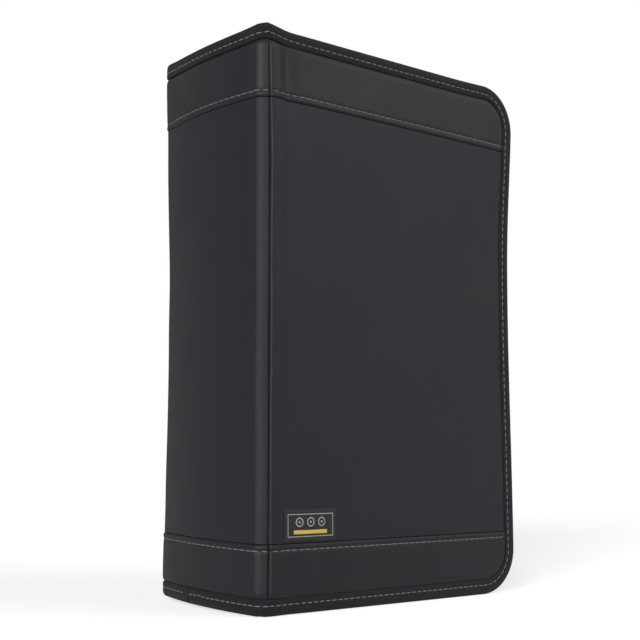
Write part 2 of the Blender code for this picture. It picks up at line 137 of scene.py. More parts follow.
class CaseSizes(bpy.types.PropertyGroup):
    """Sizes that shape the soft parts."""
    corner_radius: length("Corner Radius", "Radius of the covers' two free corners", 0.025)
    cloth: length("Cloth Thickness", "Thickness of the outer nylon", 0.0008)
    crown: length("Cover Crown", "How far the padding lifts the middle of a cover", 0.0007)
    ridge: length("Hinge Ridge", "Height of the soft ridge beside the hinge seam", 0.0009)
    groove: length("Hinge Groove", "Depth of the shallow dip beyond the ridge", 0.0005)
    band_lift: length("Band Lift", "How far the bands stand on the centre panel", 0.0004)
    front_bow: length("Front Bow", "How far the fore-edge is drawn in at its middle", 0.0030)
    back_bow: length("Back Bow", "How far the back edge of the spine is drawn in", 0.0020)
    heel_lift: length("Heel Lift", "How far the back corner of the spine stands off the floor", 0.0024)
    top_peak: length("Top Peak", "How far the hinge corner stands out at the top", 0.0022)
    tape: length("Binding Tape", "Thickness of the binding tape", 0.0007)
    rib_pitch: length("Rib Pitch", "Distance between the ribs of the binding tape", 0.0012)
    rib_height: length("Rib Height", "Height of the ribs of the binding tape", 0.00026)
    binding_stitch_pitch: length("Binding Stitch Pitch", "Distance between the bindings' stitches", 0.0040)
    binding_stitch_length: length("Binding Stitch Length", "Length of one stitch on a binding", 0.0027)
    binding_stitch_inset: length("Binding Stitch Inset", "Distance of the row from the outer edge", 0.0053)
    band_stitch_pitch: length("Band Stitch Pitch", "Distance between the bands' stitches", 0.0042)
    band_stitch_length: length("Band Stitch Length", "Length of one stitch on a band", 0.0034)
    band_stitch_inset: length("Band Stitch Inset", "Distance of the row from the band's fold", 0.0032)
    thread: length("Thread", "Diameter of the sewing thread", 0.00055)


class CaseColours(bpy.types.PropertyGroup):
    """Colours of the cloth, thread and metal."""
    panel: colour("Panel", "Woven nylon of the covers and the spine", (0.0168, 0.0128, 0.0196))
    band: colour("Band", "Satin nylon of the bands", (0.0178, 0.0136, 0.0200))
    binding: colour("Binding", "Ribbed tape round the edges", (0.0120, 0.0110, 0.0118))
    thread: colour("Thread", "Light sewing thread", (0.20, 0.20, 0.205))
    dark_thread: colour("Dark Thread", "Thread of the zip and the patch", (0.030, 0.030, 0.032))
    lining: colour("Lining", "Smooth lining cloth", (0.022, 0.022, 0.026))
    zip_tape: colour("Zip Tape", "Herringbone tape of the zip", (0.016, 0.016, 0.018))
    metal: colour("Metal", "Dark plating of the slider and the pull", (0.16, 0.16, 0.17))
    foam: colour("Foam", "Padding under the cloth", (0.32, 0.32, 0.33))
    board: colour("Board", "Stiffening board", (0.34, 0.27, 0.19))
    sleeve: colour("Sleeve", "Felt between the sleeve films", (0.045, 0.045, 0.048))
    label_accent: colour("Label Accent", "Bright bar on the label patch", (0.88, 0.64, 0.09))
    label_pale: colour("Label Pale", "Pale lines on the label patch", (0.55, 0.56, 0.55))


def sizes():
    """The sizes that the user can change."""
    return bpy.context.scene.disc_case_sizes


def colours():
    """The colours that the user can change."""
    return bpy.context.scene.disc_case_colours


def smooth(value):
    """A rise from 0 to 1 that starts and ends level."""
    held = np.clip(value, 0.0, 1.0)
    return held * held * (3.0 - 2.0 * held)


def bump(value, centre, width):
    """A round hill of height 1."""
    return np.exp(-(((value - centre) / width) ** 2))


def spaced(start, end, step):
    """Evenly spaced numbers from start to end, no further apart than step."""
    count = max(1, math.ceil(abs(end - start) / step - 1e-6))
    return np.linspace(start, end, count + 1)


def joined(*runs):
    """Runs of numbers end to end, with the shared ends written once."""
    return np.concatenate([runs[0]] + [run[1:] for run in runs[1:]])


def at(x, y, z):
    """Points from three coordinates, each a number or a grid."""
    return np.stack(np.broadcast_arrays(x, y, z), -1)


def travelled(points):
    """Distance along a path at each of its points."""
    return np.concatenate([[0.0], np.cumsum(np.linalg.norm(np.diff(points, axis=0), axis=1))])


def unit(vectors):
    """Vectors at length 1."""
    return vectors / np.linalg.norm(vectors, axis=1)[:, None]


def bow(z, peak):
    """Course of an upright edge's bow, from 0 at its ends to 1 at its peak. The peak is a share of the height."""
    share = np.clip(z / HEIGHT, 0.0, 1.0)
    below = np.sin(PI / 2 * np.minimum(share / peak, 1.0)) ** 2
    above = np.cos(PI / 2 * np.maximum(share - peak, 0.0) / (1.0 - peak)) ** 2
    return np.where(share < peak, below, above)


def settle(points):
    """Lean and bow of the standing soft case: each point of the straight case moved to where it settles."""
    size = sizes()
    moved = np.array(points, dtype=float)
    x, y, z = moved[..., 0] - HINGE_X, moved[..., 1].copy(), moved[..., 2].copy()
    across = np.clip(x / COVER_WIDTH, 0.0, 1.0)
    back = np.clip((y + HALF_DEPTH) / (2 * HALF_DEPTH), 0.0, 1.0)
    front_share = bow(z, 0.64) * (1.0 - back)
    back_share = bow(z, 0.50) * back
    moved[..., 1] += size.front_bow * across ** 1.2 * front_share - size.back_bow * back_share
    moved[..., 0] += (0.45 * size.back_bow * (1.0 - across) * back_share
                      - 0.30 * size.front_bow * across * (front_share + back_share))
    heel = back * (1.0 - smooth(across * 1.4)) * np.clip(1.0 - z / HEIGHT, 0.0, 1.0) ** 3
    moved[..., 2] += size.heel_lift * heel
    outer = smooth((np.abs(y) - 0.6 * HALF_DEPTH) / (0.4 * HALF_DEPTH))
    corner = bump(x, 0.0, 9 * MM)
    peak = corner * smooth((z - 0.74 * HEIGHT) / (0.26 * HEIGHT)) * outer
    moved[..., 0] -= 0.35 * size.top_peak * peak
    moved[..., 1] -= 0.15 * np.sign(y) * size.top_peak * peak
    reach = smooth((np.abs(y) - 0.1 * HALF_DEPTH) / (0.9 * HALF_DEPTH))
    tip = 0.25 * bump(x, -1.0 * MM, 4 * MM) * outer + 0.70 * corner * reach
    fore = 0.45 * smooth((x - 0.72 * COVER_WIDTH) / (0.28 * COVER_WIDTH))
    moved[..., 2] += size.top_peak * (tip + fore) * smooth((z - 0.9 * HEIGHT) / (0.1 * HEIGHT))
    return moved


def linked(name, mesh, sharp):
    """An object of a mesh that is shaded smooth between its sharp edges."""
    if mesh.polygons:
        mesh.shade_smooth()
        mesh.set_sharp_from_angle(angle=math.radians(sharp))
    obj = bpy.data.objects.new(name, mesh)
    bpy.context.scene.collection.objects.link(obj)
    return obj


def mesh_object(name, points, faces, material, uv=None, sharp=50.0):
    """An object from points and faces, its faces turned outwards."""
    mesh = bpy.data.meshes.new(name)
    mesh.from_pydata(np.asarray(points).tolist(), [], faces)
    mesh.validate()
    if uv is not None:
        layer = mesh.uv_layers.new(name="cloth")
        corners = np.empty(len(mesh.loops), dtype=np.int32)
        mesh.loops.foreach_get("vertex_index", corners)
        layer.data.foreach_set("uv", np.asarray(uv, dtype=np.float32)[corners].ravel())
    turned = bmesh.new()
    turned.from_mesh(mesh)
    bmesh.ops.recalc_face_normals(turned, faces=turned.faces)
    turned.to_mesh(mesh)
    turned.free()
    mesh.materials.append(finish_named(material))
    return linked(name, mesh, sharp)


def flat_map(uv):
    """Places on the flat cloth, one row a point, from the distances along and across it."""
    return np.stack(np.broadcast_arrays(*uv), -1).reshape(-1, 2)


def shell(name, outer, inner, uv, material):
    """A closed piece of cloth from its outer and its inner face, two grids of points of one size."""
    rows, columns = outer.shape[:2]
    count = rows * columns
    index = np.arange(count).reshape(rows, columns)
    quads = np.stack([index[:-1, :-1], index[1:, :-1], index[1:, 1:], index[:-1, 1:]], -1).reshape(-1, 4)
    ring = np.concatenate([index[0, :-1], index[:-1, -1], index[-1, :0:-1], index[:0:-1, 0]])
    after = np.roll(ring, -1)
    rim = np.stack([ring, after, after + count, ring + count], -1)
    faces = np.concatenate([quads, quads[:, ::-1] + count, rim])
    points = np.concatenate([outer.reshape(-1, 3), inner.reshape(-1, 3)])
    return mesh_object(name, points, faces.tolist(), material, np.tile(flat_map(uv), (2, 1)))


def swept(name, rings, uv, material):
    """A closed tube from a row of rings of points, both ends capped."""
    index = np.arange(rings.shape[0] * rings.shape[1]).reshape(rings.shape[:2])
    after = np.roll(index, -1, axis=1)
    quads = np.stack([index[:-1], after[:-1], after[1:], index[1:]], -1).reshape(-1, 4).tolist()
    quads += [index[0][::-1].tolist(), index[-1].tolist()]
    return mesh_object(name, rings.reshape(-1, 3), quads, material, flat_map(uv), 60.0)


def dressed(obj, body, slot, *nodes):
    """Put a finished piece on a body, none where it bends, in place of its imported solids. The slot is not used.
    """
    if body:
        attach(obj, body)
    if nodes:
        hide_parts(*nodes)
    return obj


class Term:
    """An output of a node. Each sum that is written with it adds a Math node to its tree."""

    def __init__(self, tree, socket):
        self.tree = tree
        self.socket = socket

    def __add__(self, other):
        return calc("ADD", self, other)

    def __sub__(self, other):
        return calc("SUBTRACT", self, other)

    def __rsub__(self, other):
        return calc("SUBTRACT", other, self)

    def __mul__(self, other):
        return calc("MULTIPLY", self, other)

    def __pow__(self, other):
        return calc("POWER", self, other)

    def __lt__(self, other):
        return calc("LESS_THAN", self, other)

    def __abs__(self):
        return calc("ABSOLUTE", self)


def feed(socket, value):
    """Give an input a number, a colour or another node's output."""
    if isinstance(value, Term):
        value.tree.links.new(value.socket, socket)
    else:
        socket.default_value = value


def calc(operation, *terms):
    """One sum on numbers and outputs."""
    tree = next(value.tree for value in terms if isinstance(value, Term))
    made = tree.nodes.new("ShaderNodeMath")
    made.operation = operation
    for socket, value in zip(made.inputs, terms):
        feed(socket, value)
    return Term(tree, made.outputs[0])


def term(tree, kind, output, settings=None, **values):
    """Add a node, set its properties, fill its inputs, and give one of its outputs."""
    made = tree.nodes.new(kind)
    for key, value in (settings or {}).items():
        setattr(made, key, value)
    for key, value in values.items():
        feed(made.inputs[key.replace("_", " ")], value)
    return Term(tree, made.outputs[output])


def split(place):
    """The coordinates of a place."""
    made = term(place.tree, "ShaderNodeSeparateXYZ", 0, Vector=place).socket.node
    return [Term(place.tree, socket) for socket in made.outputs]


def mixed(share, first, second):
    """A colour between two colours."""
    made = share.tree.nodes.new("ShaderNodeMix")
    made.data_type = "RGBA"
    feed(made.inputs["Factor"], share)
    for socket, value in ((made.inputs[6], first), (made.inputs[7], second)):
        feed(socket, value if isinstance(value, Term) else (*value, 1.0))
    return Term(share.tree, made.outputs[2])


def seen_rays(tree, mirrored):
    """1 for rays seen straight or through a clear thing, and a share for mirrored rays."""
    rays = tree.nodes.new("ShaderNodeLightPath").outputs
    kinds = ("Camera", "Glossy", "Transmission")
    camera, glossy, through = [Term(tree, rays[f"Is {kind} Ray"]) for kind in kinds]
    return calc("MAXIMUM", camera, calc("MAXIMUM", glossy * mirrored, through))


def cloth_map(tree):
    """Place on the flat cloth."""
    return term(tree, "ShaderNodeUVMap", "UV", {"uv_map": "cloth"})


def cloth_place(tree):
    """Distance along and across a cloth, and both as one place."""
    place = cloth_map(tree)
    along, across, _ = split(place)
    return along, across, place


def object_place(tree):
    """Place in the frame."""
    return term(tree, "ShaderNodeTexCoord", "Object")


def noise(place, scale, detail=2.0, stretch=None):
    """Soft random pattern, from 0 to 1, stretched along an axis where asked."""
    if stretch is not None:
        place = term(place.tree, "ShaderNodeMapping", "Vector", Vector=place, Scale=stretch)
    return term(place.tree, "ShaderNodeTexNoise", "Fac", Vector=place, Scale=scale, Detail=detail,
                Roughness=0.55)


def wave(distance, pitch):
    """Rows of round ridges along a distance, from 0 to 1."""
    return calc("MULTIPLY_ADD", calc("SINE", distance * (2 * PI / pitch)), 0.5, 0.5)


def shade(value, share):
    """A colour made lighter or darker."""
    return tuple(min(1.0, part * share) for part in value)


def finish(name, base, spread, rough, depth, pattern, inputs=()):
    """A material. Its pattern gives three outputs: tone, wear and height. The tone is itself a colour where
    spread is 0."""
    material = bpy.data.materials.new(name)
    material.use_nodes = True
    tree = material.node_tree
    shader = tree.nodes["Principled BSDF"]
    tone, wear, height = pattern(tree)
    if spread:
        base = getattr(colours(), base) if isinstance(base, str) else base
        tone = mixed(tone, shade(base, 1.0 - spread), shade(base, 1.0 + spread))
    feed(shader.inputs["Base Color"], tone)
    feed(shader.inputs["Roughness"], calc("MULTIPLY_ADD", wear, rough[1] - rough[0], rough[0]))
    if depth:
        relief = term(tree, "ShaderNodeBump", "Normal", Strength=1.0, Distance=depth, Height=height)
        feed(shader.inputs["Normal"], relief)
    for key, value in inputs:
        feed(shader.inputs[key], value)
    return material


def weave(pitch, painted_sheen=0.0):
    """Plain woven nylon: crossing threads, slubs and soft patches; painted sheen, as lighter streaks down the
    cloth, where asked.
    """
    def pattern(tree):
        along, across, place = cloth_place(tree)
        warp, weft = wave(along, pitch), wave(across, pitch)
        threads = warp * weft + (1.0 - warp) * (1.0 - weft)
        patches = noise(place, 70.0, 3.0)
        slubs = noise(place, 900.0, 2.0, (1.0, 0.18, 1.0))
        tone = threads * 0.35 + patches * 0.35 + slubs * 0.30
        # Painted sheen: soft lighter and darker streaks down the cloth stand in for the satin's sheen.
        if painted_sheen:
            tone = tone + (noise(place, 60.0, 3.0, (1.0, 0.10, 1.0)) - 0.5) * painted_sheen
        return tone, patches, threads + slubs * 0.6
    return pattern


def ribbing(tree):
    """Ribbed tape: fine threads across its ribs, worn a little lighter in patches."""
    along, across, place = cloth_place(tree)
    ribs, fine, worn = wave(along, sizes().rib_pitch), wave(across, 0.00035), noise(place, 240.0, 3.0)
    return ribs * 0.60 + fine * 0.12 + worn * 0.28, worn, ribs + fine * 0.25


def twist(tree):
    """Twisted thread, its plies a slanting pattern in the frame."""
    place = object_place(tree)
    x, y, z = split(place)
    plies, fuzz = wave(x + (y + z), 0.00055), noise(place, 1500.0)
    return plies * 0.6 + fuzz * 0.4, fuzz, plies


def herringbone(tree):
    """Twill that turns back and forth across a tape."""
    along, across, place = cloth_place(tree)
    twill, fuzz = wave(along + calc("PINGPONG", across, 0.0016), 0.0007), noise(place, 800.0)
    return twill * 0.6 + fuzz * 0.4, fuzz, twill


def scratched(tree):
    """Fine scratches and duller patches."""
    place = object_place(tree)
    scratches, patches = noise(place, 900.0, 2.0, (0.12, 1.0, 1.0)), noise(place, 220.0, 3.0)
    return patches, scratches * 0.5 + patches * 0.5, scratches


def foamed(tree):
    """Open cells."""
    return [term(tree, "ShaderNodeTexVoronoi", "Distance", Vector=object_place(tree), Scale=900.0)] * 3


def felted(tree):
    """Matted fibres with pressed dimples."""
    along, across, place = cloth_place(tree)
    fibres = noise(place, 1300.0, 4.0)
    return fibres, fibres, fibres + wave(along, 0.0012) * wave(across, 0.0012) * 0.7


def grain(scale, detail=2.0, stretch=None, place=object_place):
    """One noise for tone, wear and height."""
    return lambda tree: [noise(place(tree), scale, detail, stretch)] * 3


def label_marks(tree):
    """Woven patch: black ground, a thin pale frame, a bright bar and a row of plain disc marks."""
    along, across, _ = cloth_place(tree)
    border, mark_gap = 2.5 * MM, 7.0 * MM
    offset = along - PATCH_WIDTH / 2
    side, level = abs(offset), across - PATCH_HEIGHT / 2
    out = calc("MAXIMUM", side - (PATCH_WIDTH / 2 - border), abs(level) - (PATCH_HEIGHT / 2 - border))
    line = abs(out) < 0.22 * MM
    repeat = calc("WRAP", offset, mark_gap / 2, -mark_gap / 2)
    distance = calc("SQRT", repeat ** 2.0 + (level - 1.6 * MM) ** 2.0)
    ring, hub = abs(distance - 2.05 * MM) < 0.30 * MM, distance < 0.62 * MM
    inside = side < 1.5 * mark_gap
    pale_marks = calc("MAXIMUM", line, calc("MAXIMUM", ring, hub) * inside)
    bar = (abs(level + 3.3 * MM) < 0.95 * MM) * inside
    threads = wave(along, 0.00042) * wave(across, 0.00042)
    dark = mixed(threads, (0.006, 0.006, 0.006), (0.017, 0.017, 0.017))
    pale = mixed(threads, shade(colours().label_pale, 0.7), colours().label_pale)
    accent = mixed(threads, shade(colours().label_accent, 0.8), colours().label_accent)
    tone = mixed(bar, mixed(pale_marks, dark, pale), accent)
    return tone, threads, threads + calc("MAXIMUM", pale_marks, bar) * 0.8


# Material name, colour, spread of the colour, roughness, depth of the relief, pattern and other inputs
NYLON = ("Specular IOR Level", 0.28)
FINISHES = {
    "panel": ("nylon_weave", "panel", 0.16, (0.38, 0.54), 0.00005, weave(0.00055), [NYLON]),
    # The bands' weave carries painted sheen: streaks down the satin in place of its sheen.
    "band": ("nylon_satin", "band", 0.16, (0.38, 0.54), 0.00003, weave(0.00045, 1.3), [NYLON]),
    "lining": ("lining_cloth", "lining", 0.16, (0.52, 0.68), 0.00002, weave(0.00040),
               [NYLON, ("Sheen Weight", 0.06), ("Sheen Roughness", 0.45)]),
    "binding": ("ribbed_tape", "binding", 0.60, (0.70, 0.92), 0.00020, ribbing,
                [("Sheen Weight", 0.05), ("Specular IOR Level", 0.3)]),
    "thread": ("light_thread", "thread", 0.25, (0.5, 0.7), 0.00006, twist),
    "dark_thread": ("dark_thread", "dark_thread", 0.25, (0.5, 0.7), 0.00006, twist),
    "zip_tape": ("herringbone_tape", "zip_tape", 0.35, (0.72, 0.9), 0.00007, herringbone,
                 [("Sheen Weight", 0.05)]),
    "coil": ("coil_plastic", "zip_tape", 0.2, (0.30, 0.48), 0.00003, grain(700.0)),
    "metal": ("dark_plated_metal", "metal", 0.22, (0.24, 0.42), 0.00002, scratched, [("Metallic", 1.0)]),
    "foam": ("padding_foam", "foam", 0.2, (0.9, 1.0), 0.0002, foamed),
    "board": ("pressed_board", "board", 0.22, (0.8, 0.95), 0.0001, grain(260.0, 4.0, (1.0, 1.0, 0.2))),
    "felt": ("sleeve_felt", "sleeve", 0.3, (0.85, 0.98), 0.00008, felted),
    "film": ("clear_film", (0.30, 0.31, 0.33), 0.1, (0.10, 0.22), 0.0004, grain(45.0, place=cloth_map),
             [("Alpha", 0.22), ("IOR", 1.5)]),
    "label": ("woven_patch", None, 0.0, (0.5, 0.75), 0.00008, label_marks),
    "floor": ("studio_floor", (0.80, 0.80, 0.80), 0.01, (0.95, 0.95), 0.0, grain(6.0),
              [("Specular IOR Level", 0.0), ("Emission Color", (1.0, 1.0, 1.0, 1.0))]),
}
MADE = {}


def finish_named(name):
    """A finish by its name, made when it is first asked for."""
    if name not in MADE:
        MADE[name] = finish(*FINISHES[name])
    return MADE[name]


def nearer(value, total):
    """Distance to the nearer of two ends."""
    return np.minimum(value, total - value)


def edge_inset(x, z):
    """How far a place on a cover is from the nearest free edge."""
    radius = sizes().corner_radius
    fore, near = COVER_WIDTH - x, nearer(z, HEIGHT)
    at_corner = radius - np.hypot(radius - fore, radius - near)
    return np.where((fore < radius) & (near < radius), at_corner, np.minimum(fore, near))


def under_binding(inset):
    """0 where the binding covers the cloth and 1 where the cloth is clear of it."""
    return smooth((inset - BINDING_WIDTH + 0.7 * MM) / (2.8 * MM))


def let_out(free, inset):
    """Level of cloth that is held under a binding and free beyond it."""
    return HELD_LEVEL + (free - HELD_LEVEL) * under_binding(inset)


def ridge_form(x):
    """Ridge beside the hinge seam and the shallow dip beyond it."""
    return sizes().ridge * bump(x, 5.2 * MM, 4.6 * MM) - sizes().groove * bump(x, 12.5 * MM, 8.0 * MM)


def seam_dive(distance):
    """How far cloth turns in beside a hinge seam."""
    return 1.0 * MM * bump(distance, 0.0, 0.42 * MM)


def swell(along, up):
    """Slow unevenness of soft cloth over padding."""
    first = np.sin(along * 97.0 + 1.3) * np.sin(up * 61.0 + 0.4)
    second = np.sin(along * 43.0 - up * 88.0 + 2.1)
    third = np.sin(along * 190.0 + 4.0) * np.sin(up * 150.0 + 1.0)
    return (0.13 * first + 0.10 * second + 0.05 * third) * MM


def cover_rise(x, z):
    """How far the centre panel's outer face stands out from the face of the binding."""
    inset = edge_inset(x, z)
    pad = 0.1 * MM + sizes().crown * smooth((inset - BINDING_WIDTH) / (34 * MM))
    hollow = 1.1 * MM * bump(x, 10.5 * MM, 4.6 * MM) * smooth((z - HEIGHT + 46 * MM) / (22 * MM))
    slanting = x - 1.6 * MM - 0.72 * (z - 8 * MM)
    crease = 0.90 * MM * bump(slanting, 0.0, 1.3 * MM) * bump(z, 12 * MM, 5.0 * MM)
    return let_out(pad + (ridge_form(x) - hollow) + swell(x, z) - crease, inset) - seam_dive(x)


def band_lift(from_fold, along):
    """How far a band's outer face stands on the panel: rolled fold, sewn row and the puckers along it."""
    size = sizes()
    roll = 0.60 * MM * np.clip(1.0 - from_fold / (0.9 * MM), 0.0, 1.0) ** 2
    row = 0.30 * MM * bump(from_fold, size.band_stitch_inset, 0.75 * MM)
    beat = 0.07 * MM * np.cos(along * 2 * PI / size.band_stitch_pitch)
    pucker = beat * bump(from_fold, size.band_stitch_inset, 1.7 * MM)
    puff = 0.20 * MM * bump(from_fold, 1.6 * MM, 1.0 * MM)
    return size.band_lift - roll - row + pucker + puff


FOLD_ROWS = np.array([0.0, 0.12, 0.3, 0.55, 0.9, 1.3, 1.8, 2.3, 2.7, 3.0, 3.25, 3.5, 3.9, 4.5, 5.3, 6.4]) * MM


def band_rows(fold, end):
    """Heights across a band from its fold to its far edge."""
    near = fold + (1 if end > fold else -1) * FOLD_ROWS
    return joined(near, spaced(near[-1], end, 1.5 * MM))


def cover_grid(columns, rows, inset):
    """Places on a cover: columns of x, drawn in where a row crosses a rounded corner, and rows of z."""
    corner = sizes().corner_radius
    radius, middle = corner - inset, COVER_WIDTH - corner
    into = np.clip(np.maximum(rows - (HEIGHT - corner), corner - rows), 0.0, radius)
    end = middle + np.maximum(np.sqrt(radius ** 2 - into ** 2), 0.4 * MM)
    share = np.clip((columns - middle) / (columns[-1] - middle), 0.0, 1.0)
    x = np.where(columns > middle, middle + share * (end[:, None] - middle), columns)
    return x, np.broadcast_to(rows[:, None], x.shape)


def on_cover(side, x, z, rise):
    """Settled places that stand out of a cover's face by a rise."""
    return settle(at(HINGE_X + x, side * (HALF_DEPTH + rise), z))


def cover_cloth(name, side, rows, lift, thickness, step, material):
    """One outer cloth of a cover: rows are heights, lift gives the height above the panel."""
    columns = joined(spaced(SEAM_GAP, 12 * MM, 0.55 * MM), spaced(12 * MM, 34 * MM, min(step, 1.1 * MM)),
                     spaced(34 * MM, COVER_WIDTH - TUCK, step))
    x, z = cover_grid(columns, rows, TUCK)
    rise = cover_rise(x, z) + lift(z, x) * under_binding(edge_inset(x, z))
    return shell(name, on_cover(side, x, z, rise), on_cover(side, x, z, rise - thickness), (x, z), material)


def spine_line(step):
    """Outer line of the spine from seam to seam: points (x, y), distance along and outward."""
    turn = HALF_DEPTH - CORNER_DEPTH
    share = spaced(0.0, 1.0, min(step, 0.36 * MM) / (7.0 * MM))
    bulge = 0.42 * MM * np.sin(PI * share ** 1.3)
    x, y = -CORNER_DROP * share - 0.655 * bulge, -HALF_DEPTH + CORNER_DEPTH * share - 0.756 * bulge
    strip = np.stack([x, y], -1)
    y = spaced(-turn, turn, step)
    crown = np.stack([-CORNER_DROP - (SPINE_REACH - CORNER_DROP) * (1 - (y / turn) ** 2), y], -1)
    line = np.concatenate([strip, crown[1:-1], strip[::-1] * np.array([1.0, -1.0])])
    along = travelled(line)
    tangent = np.gradient(line, along, axis=0)
    return line, along, unit(np.stack([-tangent[:, 1], tangent[:, 0]], -1))


def spine_rise(along, z, girth):
    """How far the spine's centre panel stands out from the face of its binding."""
    near = nearer(along, girth)
    strip = 0.12 * MM * smooth((7.0 * MM - near) / (1.6 * MM))
    free = 0.05 * MM + strip + swell(along + 0.05, z)
    return let_out(free, nearer(z, HEIGHT)) - seam_dive(near - SEAM_GAP)


def off_spine(line, outward, rise, z):
    """Places that stand out of the spine's line by a rise."""
    return at(HINGE_X + line[:, 0] + outward[:, 0] * rise, line[:, 1] + outward[:, 1] * rise, z)


def spine_cloth(name, rows, lift, thickness, material):
    """One outer cloth of the spine, from seam to seam."""
    line, along, outward = spine_line(ROW_STEP)
    s, z = np.meshgrid(along, rows)
    rise = spine_rise(s, z, along[-1]) + lift(z, s) * under_binding(nearer(z, HEIGHT))

    def face(offset):
        places = off_spine(line, outward, offset, z)
        places[:, [0, -1], 0] = np.minimum(places[:, [0, -1], 0], HINGE_X - SEAM_GAP)
        return settle(places)

    return shell(name, face(rise), face(rise - thickness), (s, z), material)


def outer_cloths():
    """The three outer cloths, top to bottom: name, rows, lift, thickness, column step and finish."""
    low, high, lap = PANEL_BOX[0].z, PANEL_BOX[1].z, 4 * MM
    panel = joined(spaced(low, low + lap, 0.5 * MM), spaced(low + lap, high - lap, 2.6 * MM),
                   spaced(high - lap, high, 0.5 * MM))
    top, bottom = band_rows(TOP_FOLD, HEIGHT - TUCK), band_rows(BOTTOM_FOLD, TUCK)
    thin, thick = sizes().cloth, sizes().cloth + 0.3 * MM
    return (
        ("top_band", top, lambda z, s: band_lift(z - TOP_FOLD, s), thick, ROW_STEP, "band"),
        ("centre_panel", panel, lambda z, s: 0.0, thin, 2.2 * MM, "panel"),
        ("bottom_band", bottom, lambda z, s: band_lift(BOTTOM_FOLD - z, s), thick, ROW_STEP, "band"),
    )


class CASE_OT_cover_cloths(bpy.types.Operator):
    """Make the outer cloths of both covers"""
    bl_idname = "disc_case.cover_cloths"
    bl_label = "Cover Cloths"

    def execute(self, context):
        for prefix, side in SIDES:
            for part, rows, lift, thickness, step, material in outer_cloths():
                obj = cover_cloth(f"{prefix}_{part}_cloth", side, rows, lift, thickness, step, material)
                dressed(obj, f"{prefix}_cover", f"{material}_nylon", f"{prefix}_{part}")
        return {"FINISHED"}


class CASE_OT_spine_cloths(bpy.types.Operator):
    """Make the outer cloths of the spine, which turn round both of its edges"""
    bl_idname = "disc_case.spine_cloths"
    bl_label = "Spine Cloths"

    def execute(self, context):
        girth = float(spine_line(MM)[1][-1])
        strips = {"centre_panel": ("front_hinge_strip", "back_hinge_strip")}
        for part, rows, lift, thickness, _, material in outer_cloths():
            obj = spine_cloth(f"spine_{part}_cloth", rows, lift, thickness, material)
            dressed(obj, "spine", f"{material}_nylon", f"spine_{part}", *strips.get(part, ()))
        return {"FINISHED"}


LAYERS = (("padding", "foam"), ("board_layer", "board"), ("lining_cloth", "lining"))


def cover_layer(prefix, side, name, node):
    """One inner layer of a cover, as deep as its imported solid."""
    low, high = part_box(f"{prefix}_{node}")
    front, back = sorted((HALF_DEPTH - abs(low.y), HALF_DEPTH - abs(high.y)))
    last = COVER_WIDTH - BAND_INSET
    columns = joined(spaced(0.4 * MM, 20 * MM, 2 * MM), spaced(20 * MM, last, 4 * MM))
    x, z = cover_grid(columns, spaced(BAND_INSET, HEIGHT - BAND_INSET, 3.0 * MM), BAND_INSET)
    obj = shell(f"{prefix}_{name}", on_cover(side, x, z, -front), on_cover(side, x, z, -back), (x, z), node)
    return dressed(obj, f"{prefix}_cover", node, f"{prefix}_{node}")


def spine_layer(name, node):
    """One inner layer of the spine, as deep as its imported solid. The padding's outer face is crowned."""
    low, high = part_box(f"spine_{node}")
    y, z = np.meshgrid(spaced(low.y, high.y, 2.5 * MM), spaced(low.z, high.z, 4 * MM))
    face = low.x
    if node == "foam":
        face = HINGE_X - SPINE_REACH + 2.4 * MM + 4.2 * MM * (y / (HALF_DEPTH - CORNER_DEPTH)) ** 2
    obj = shell(f"spine_{name}", settle(at(face, y, z)), settle(at(high.x, y, z)), (y, z), node)
    return dressed(obj, "spine", node, f"spine_{node}")


class CASE_OT_cover_layers(bpy.types.Operator):
    """Make the padding, board and lining of the covers and of the spine"""
    bl_idname = "disc_case.cover_layers"
    bl_label = "Cover Layers"

    def execute(self, context):
        for prefix, side in SIDES:
            padding, _, lining = [cover_layer(prefix, side, *layer) for layer in LAYERS]
        padding, _, lining = [spine_layer(*layer) for layer in LAYERS]
        return {"FINISHED"}


def tape_section():
    """Section of a folded tape: depth below the outer face, inset from the edge, and whether it faces out."""
    depth, wide, tape = COVER_THICKNESS / MM, BINDING_WIDTH / MM, sizes().tape / MM
    stitch = sizes().binding_stitch_inset / MM
    outer_leg = [(0.30, wide), (0.0, wide - 0.35), (0.0, stitch + 0.8), (0.22, stitch), (0.0, stitch - 0.8),
                 (0.06, 3.0), (0.35, 1.6), (0.9, 0.7), (1.7, 0.2), (2.7, 0.0)]
    under = [(tape, wide), (tape, 3.0), (1.3, 1.6), (2.2, 0.85), (3.0, 0.7)]
    inner_leg = [(depth - a, b) for a, b in reversed(outer_leg)]
    points = outer_leg + inner_leg + [(depth - a, b) for a, b in under] + under[::-1]
    return np.array(points) * MM, np.arange(len(points)) < 2 * len(outer_leg)


def folded_tape(name, outer_edge, inner_edge, outward, along, extra):
    """A ribbed tape folded round an edge. Each station has a point on either face and the way out."""
    section, facing = tape_section()
    width = np.linalg.norm(inner_edge - outer_edge, axis=1)[:, None]
    across = (inner_edge - outer_edge) / width
    turned = np.roll(section, -1, axis=0) - np.roll(section, 1, axis=0)
    normal = np.stack([turned[:, 1], -turned[:, 0]], -1)
    normal /= np.maximum(np.linalg.norm(normal, axis=1), 1e-9)[:, None]
    normal[np.sum(normal * (section - section.mean(axis=0)), axis=1) < 0] *= -1
    ribs = np.where(np.arange(len(along)) % 2 == 0, 0.5, -0.5) * sizes().rib_height
    offset = np.where(facing, ribs[:, None], 0.0)
    depth = section[:, 0] + normal[:, 0] * (offset + np.where(facing, extra[:, None], 0.0))
    inset = section[:, 1] + normal[:, 1] * offset
    depth = np.where(section[:, 0] > COVER_THICKNESS / 2, width - COVER_THICKNESS + depth, depth)
    rings = outer_edge[:, None] + across[:, None] * depth[..., None] - outward[:, None] * inset[..., None]
    return swept(name, settle(rings), (along[:, None], travelled(section)), "binding")


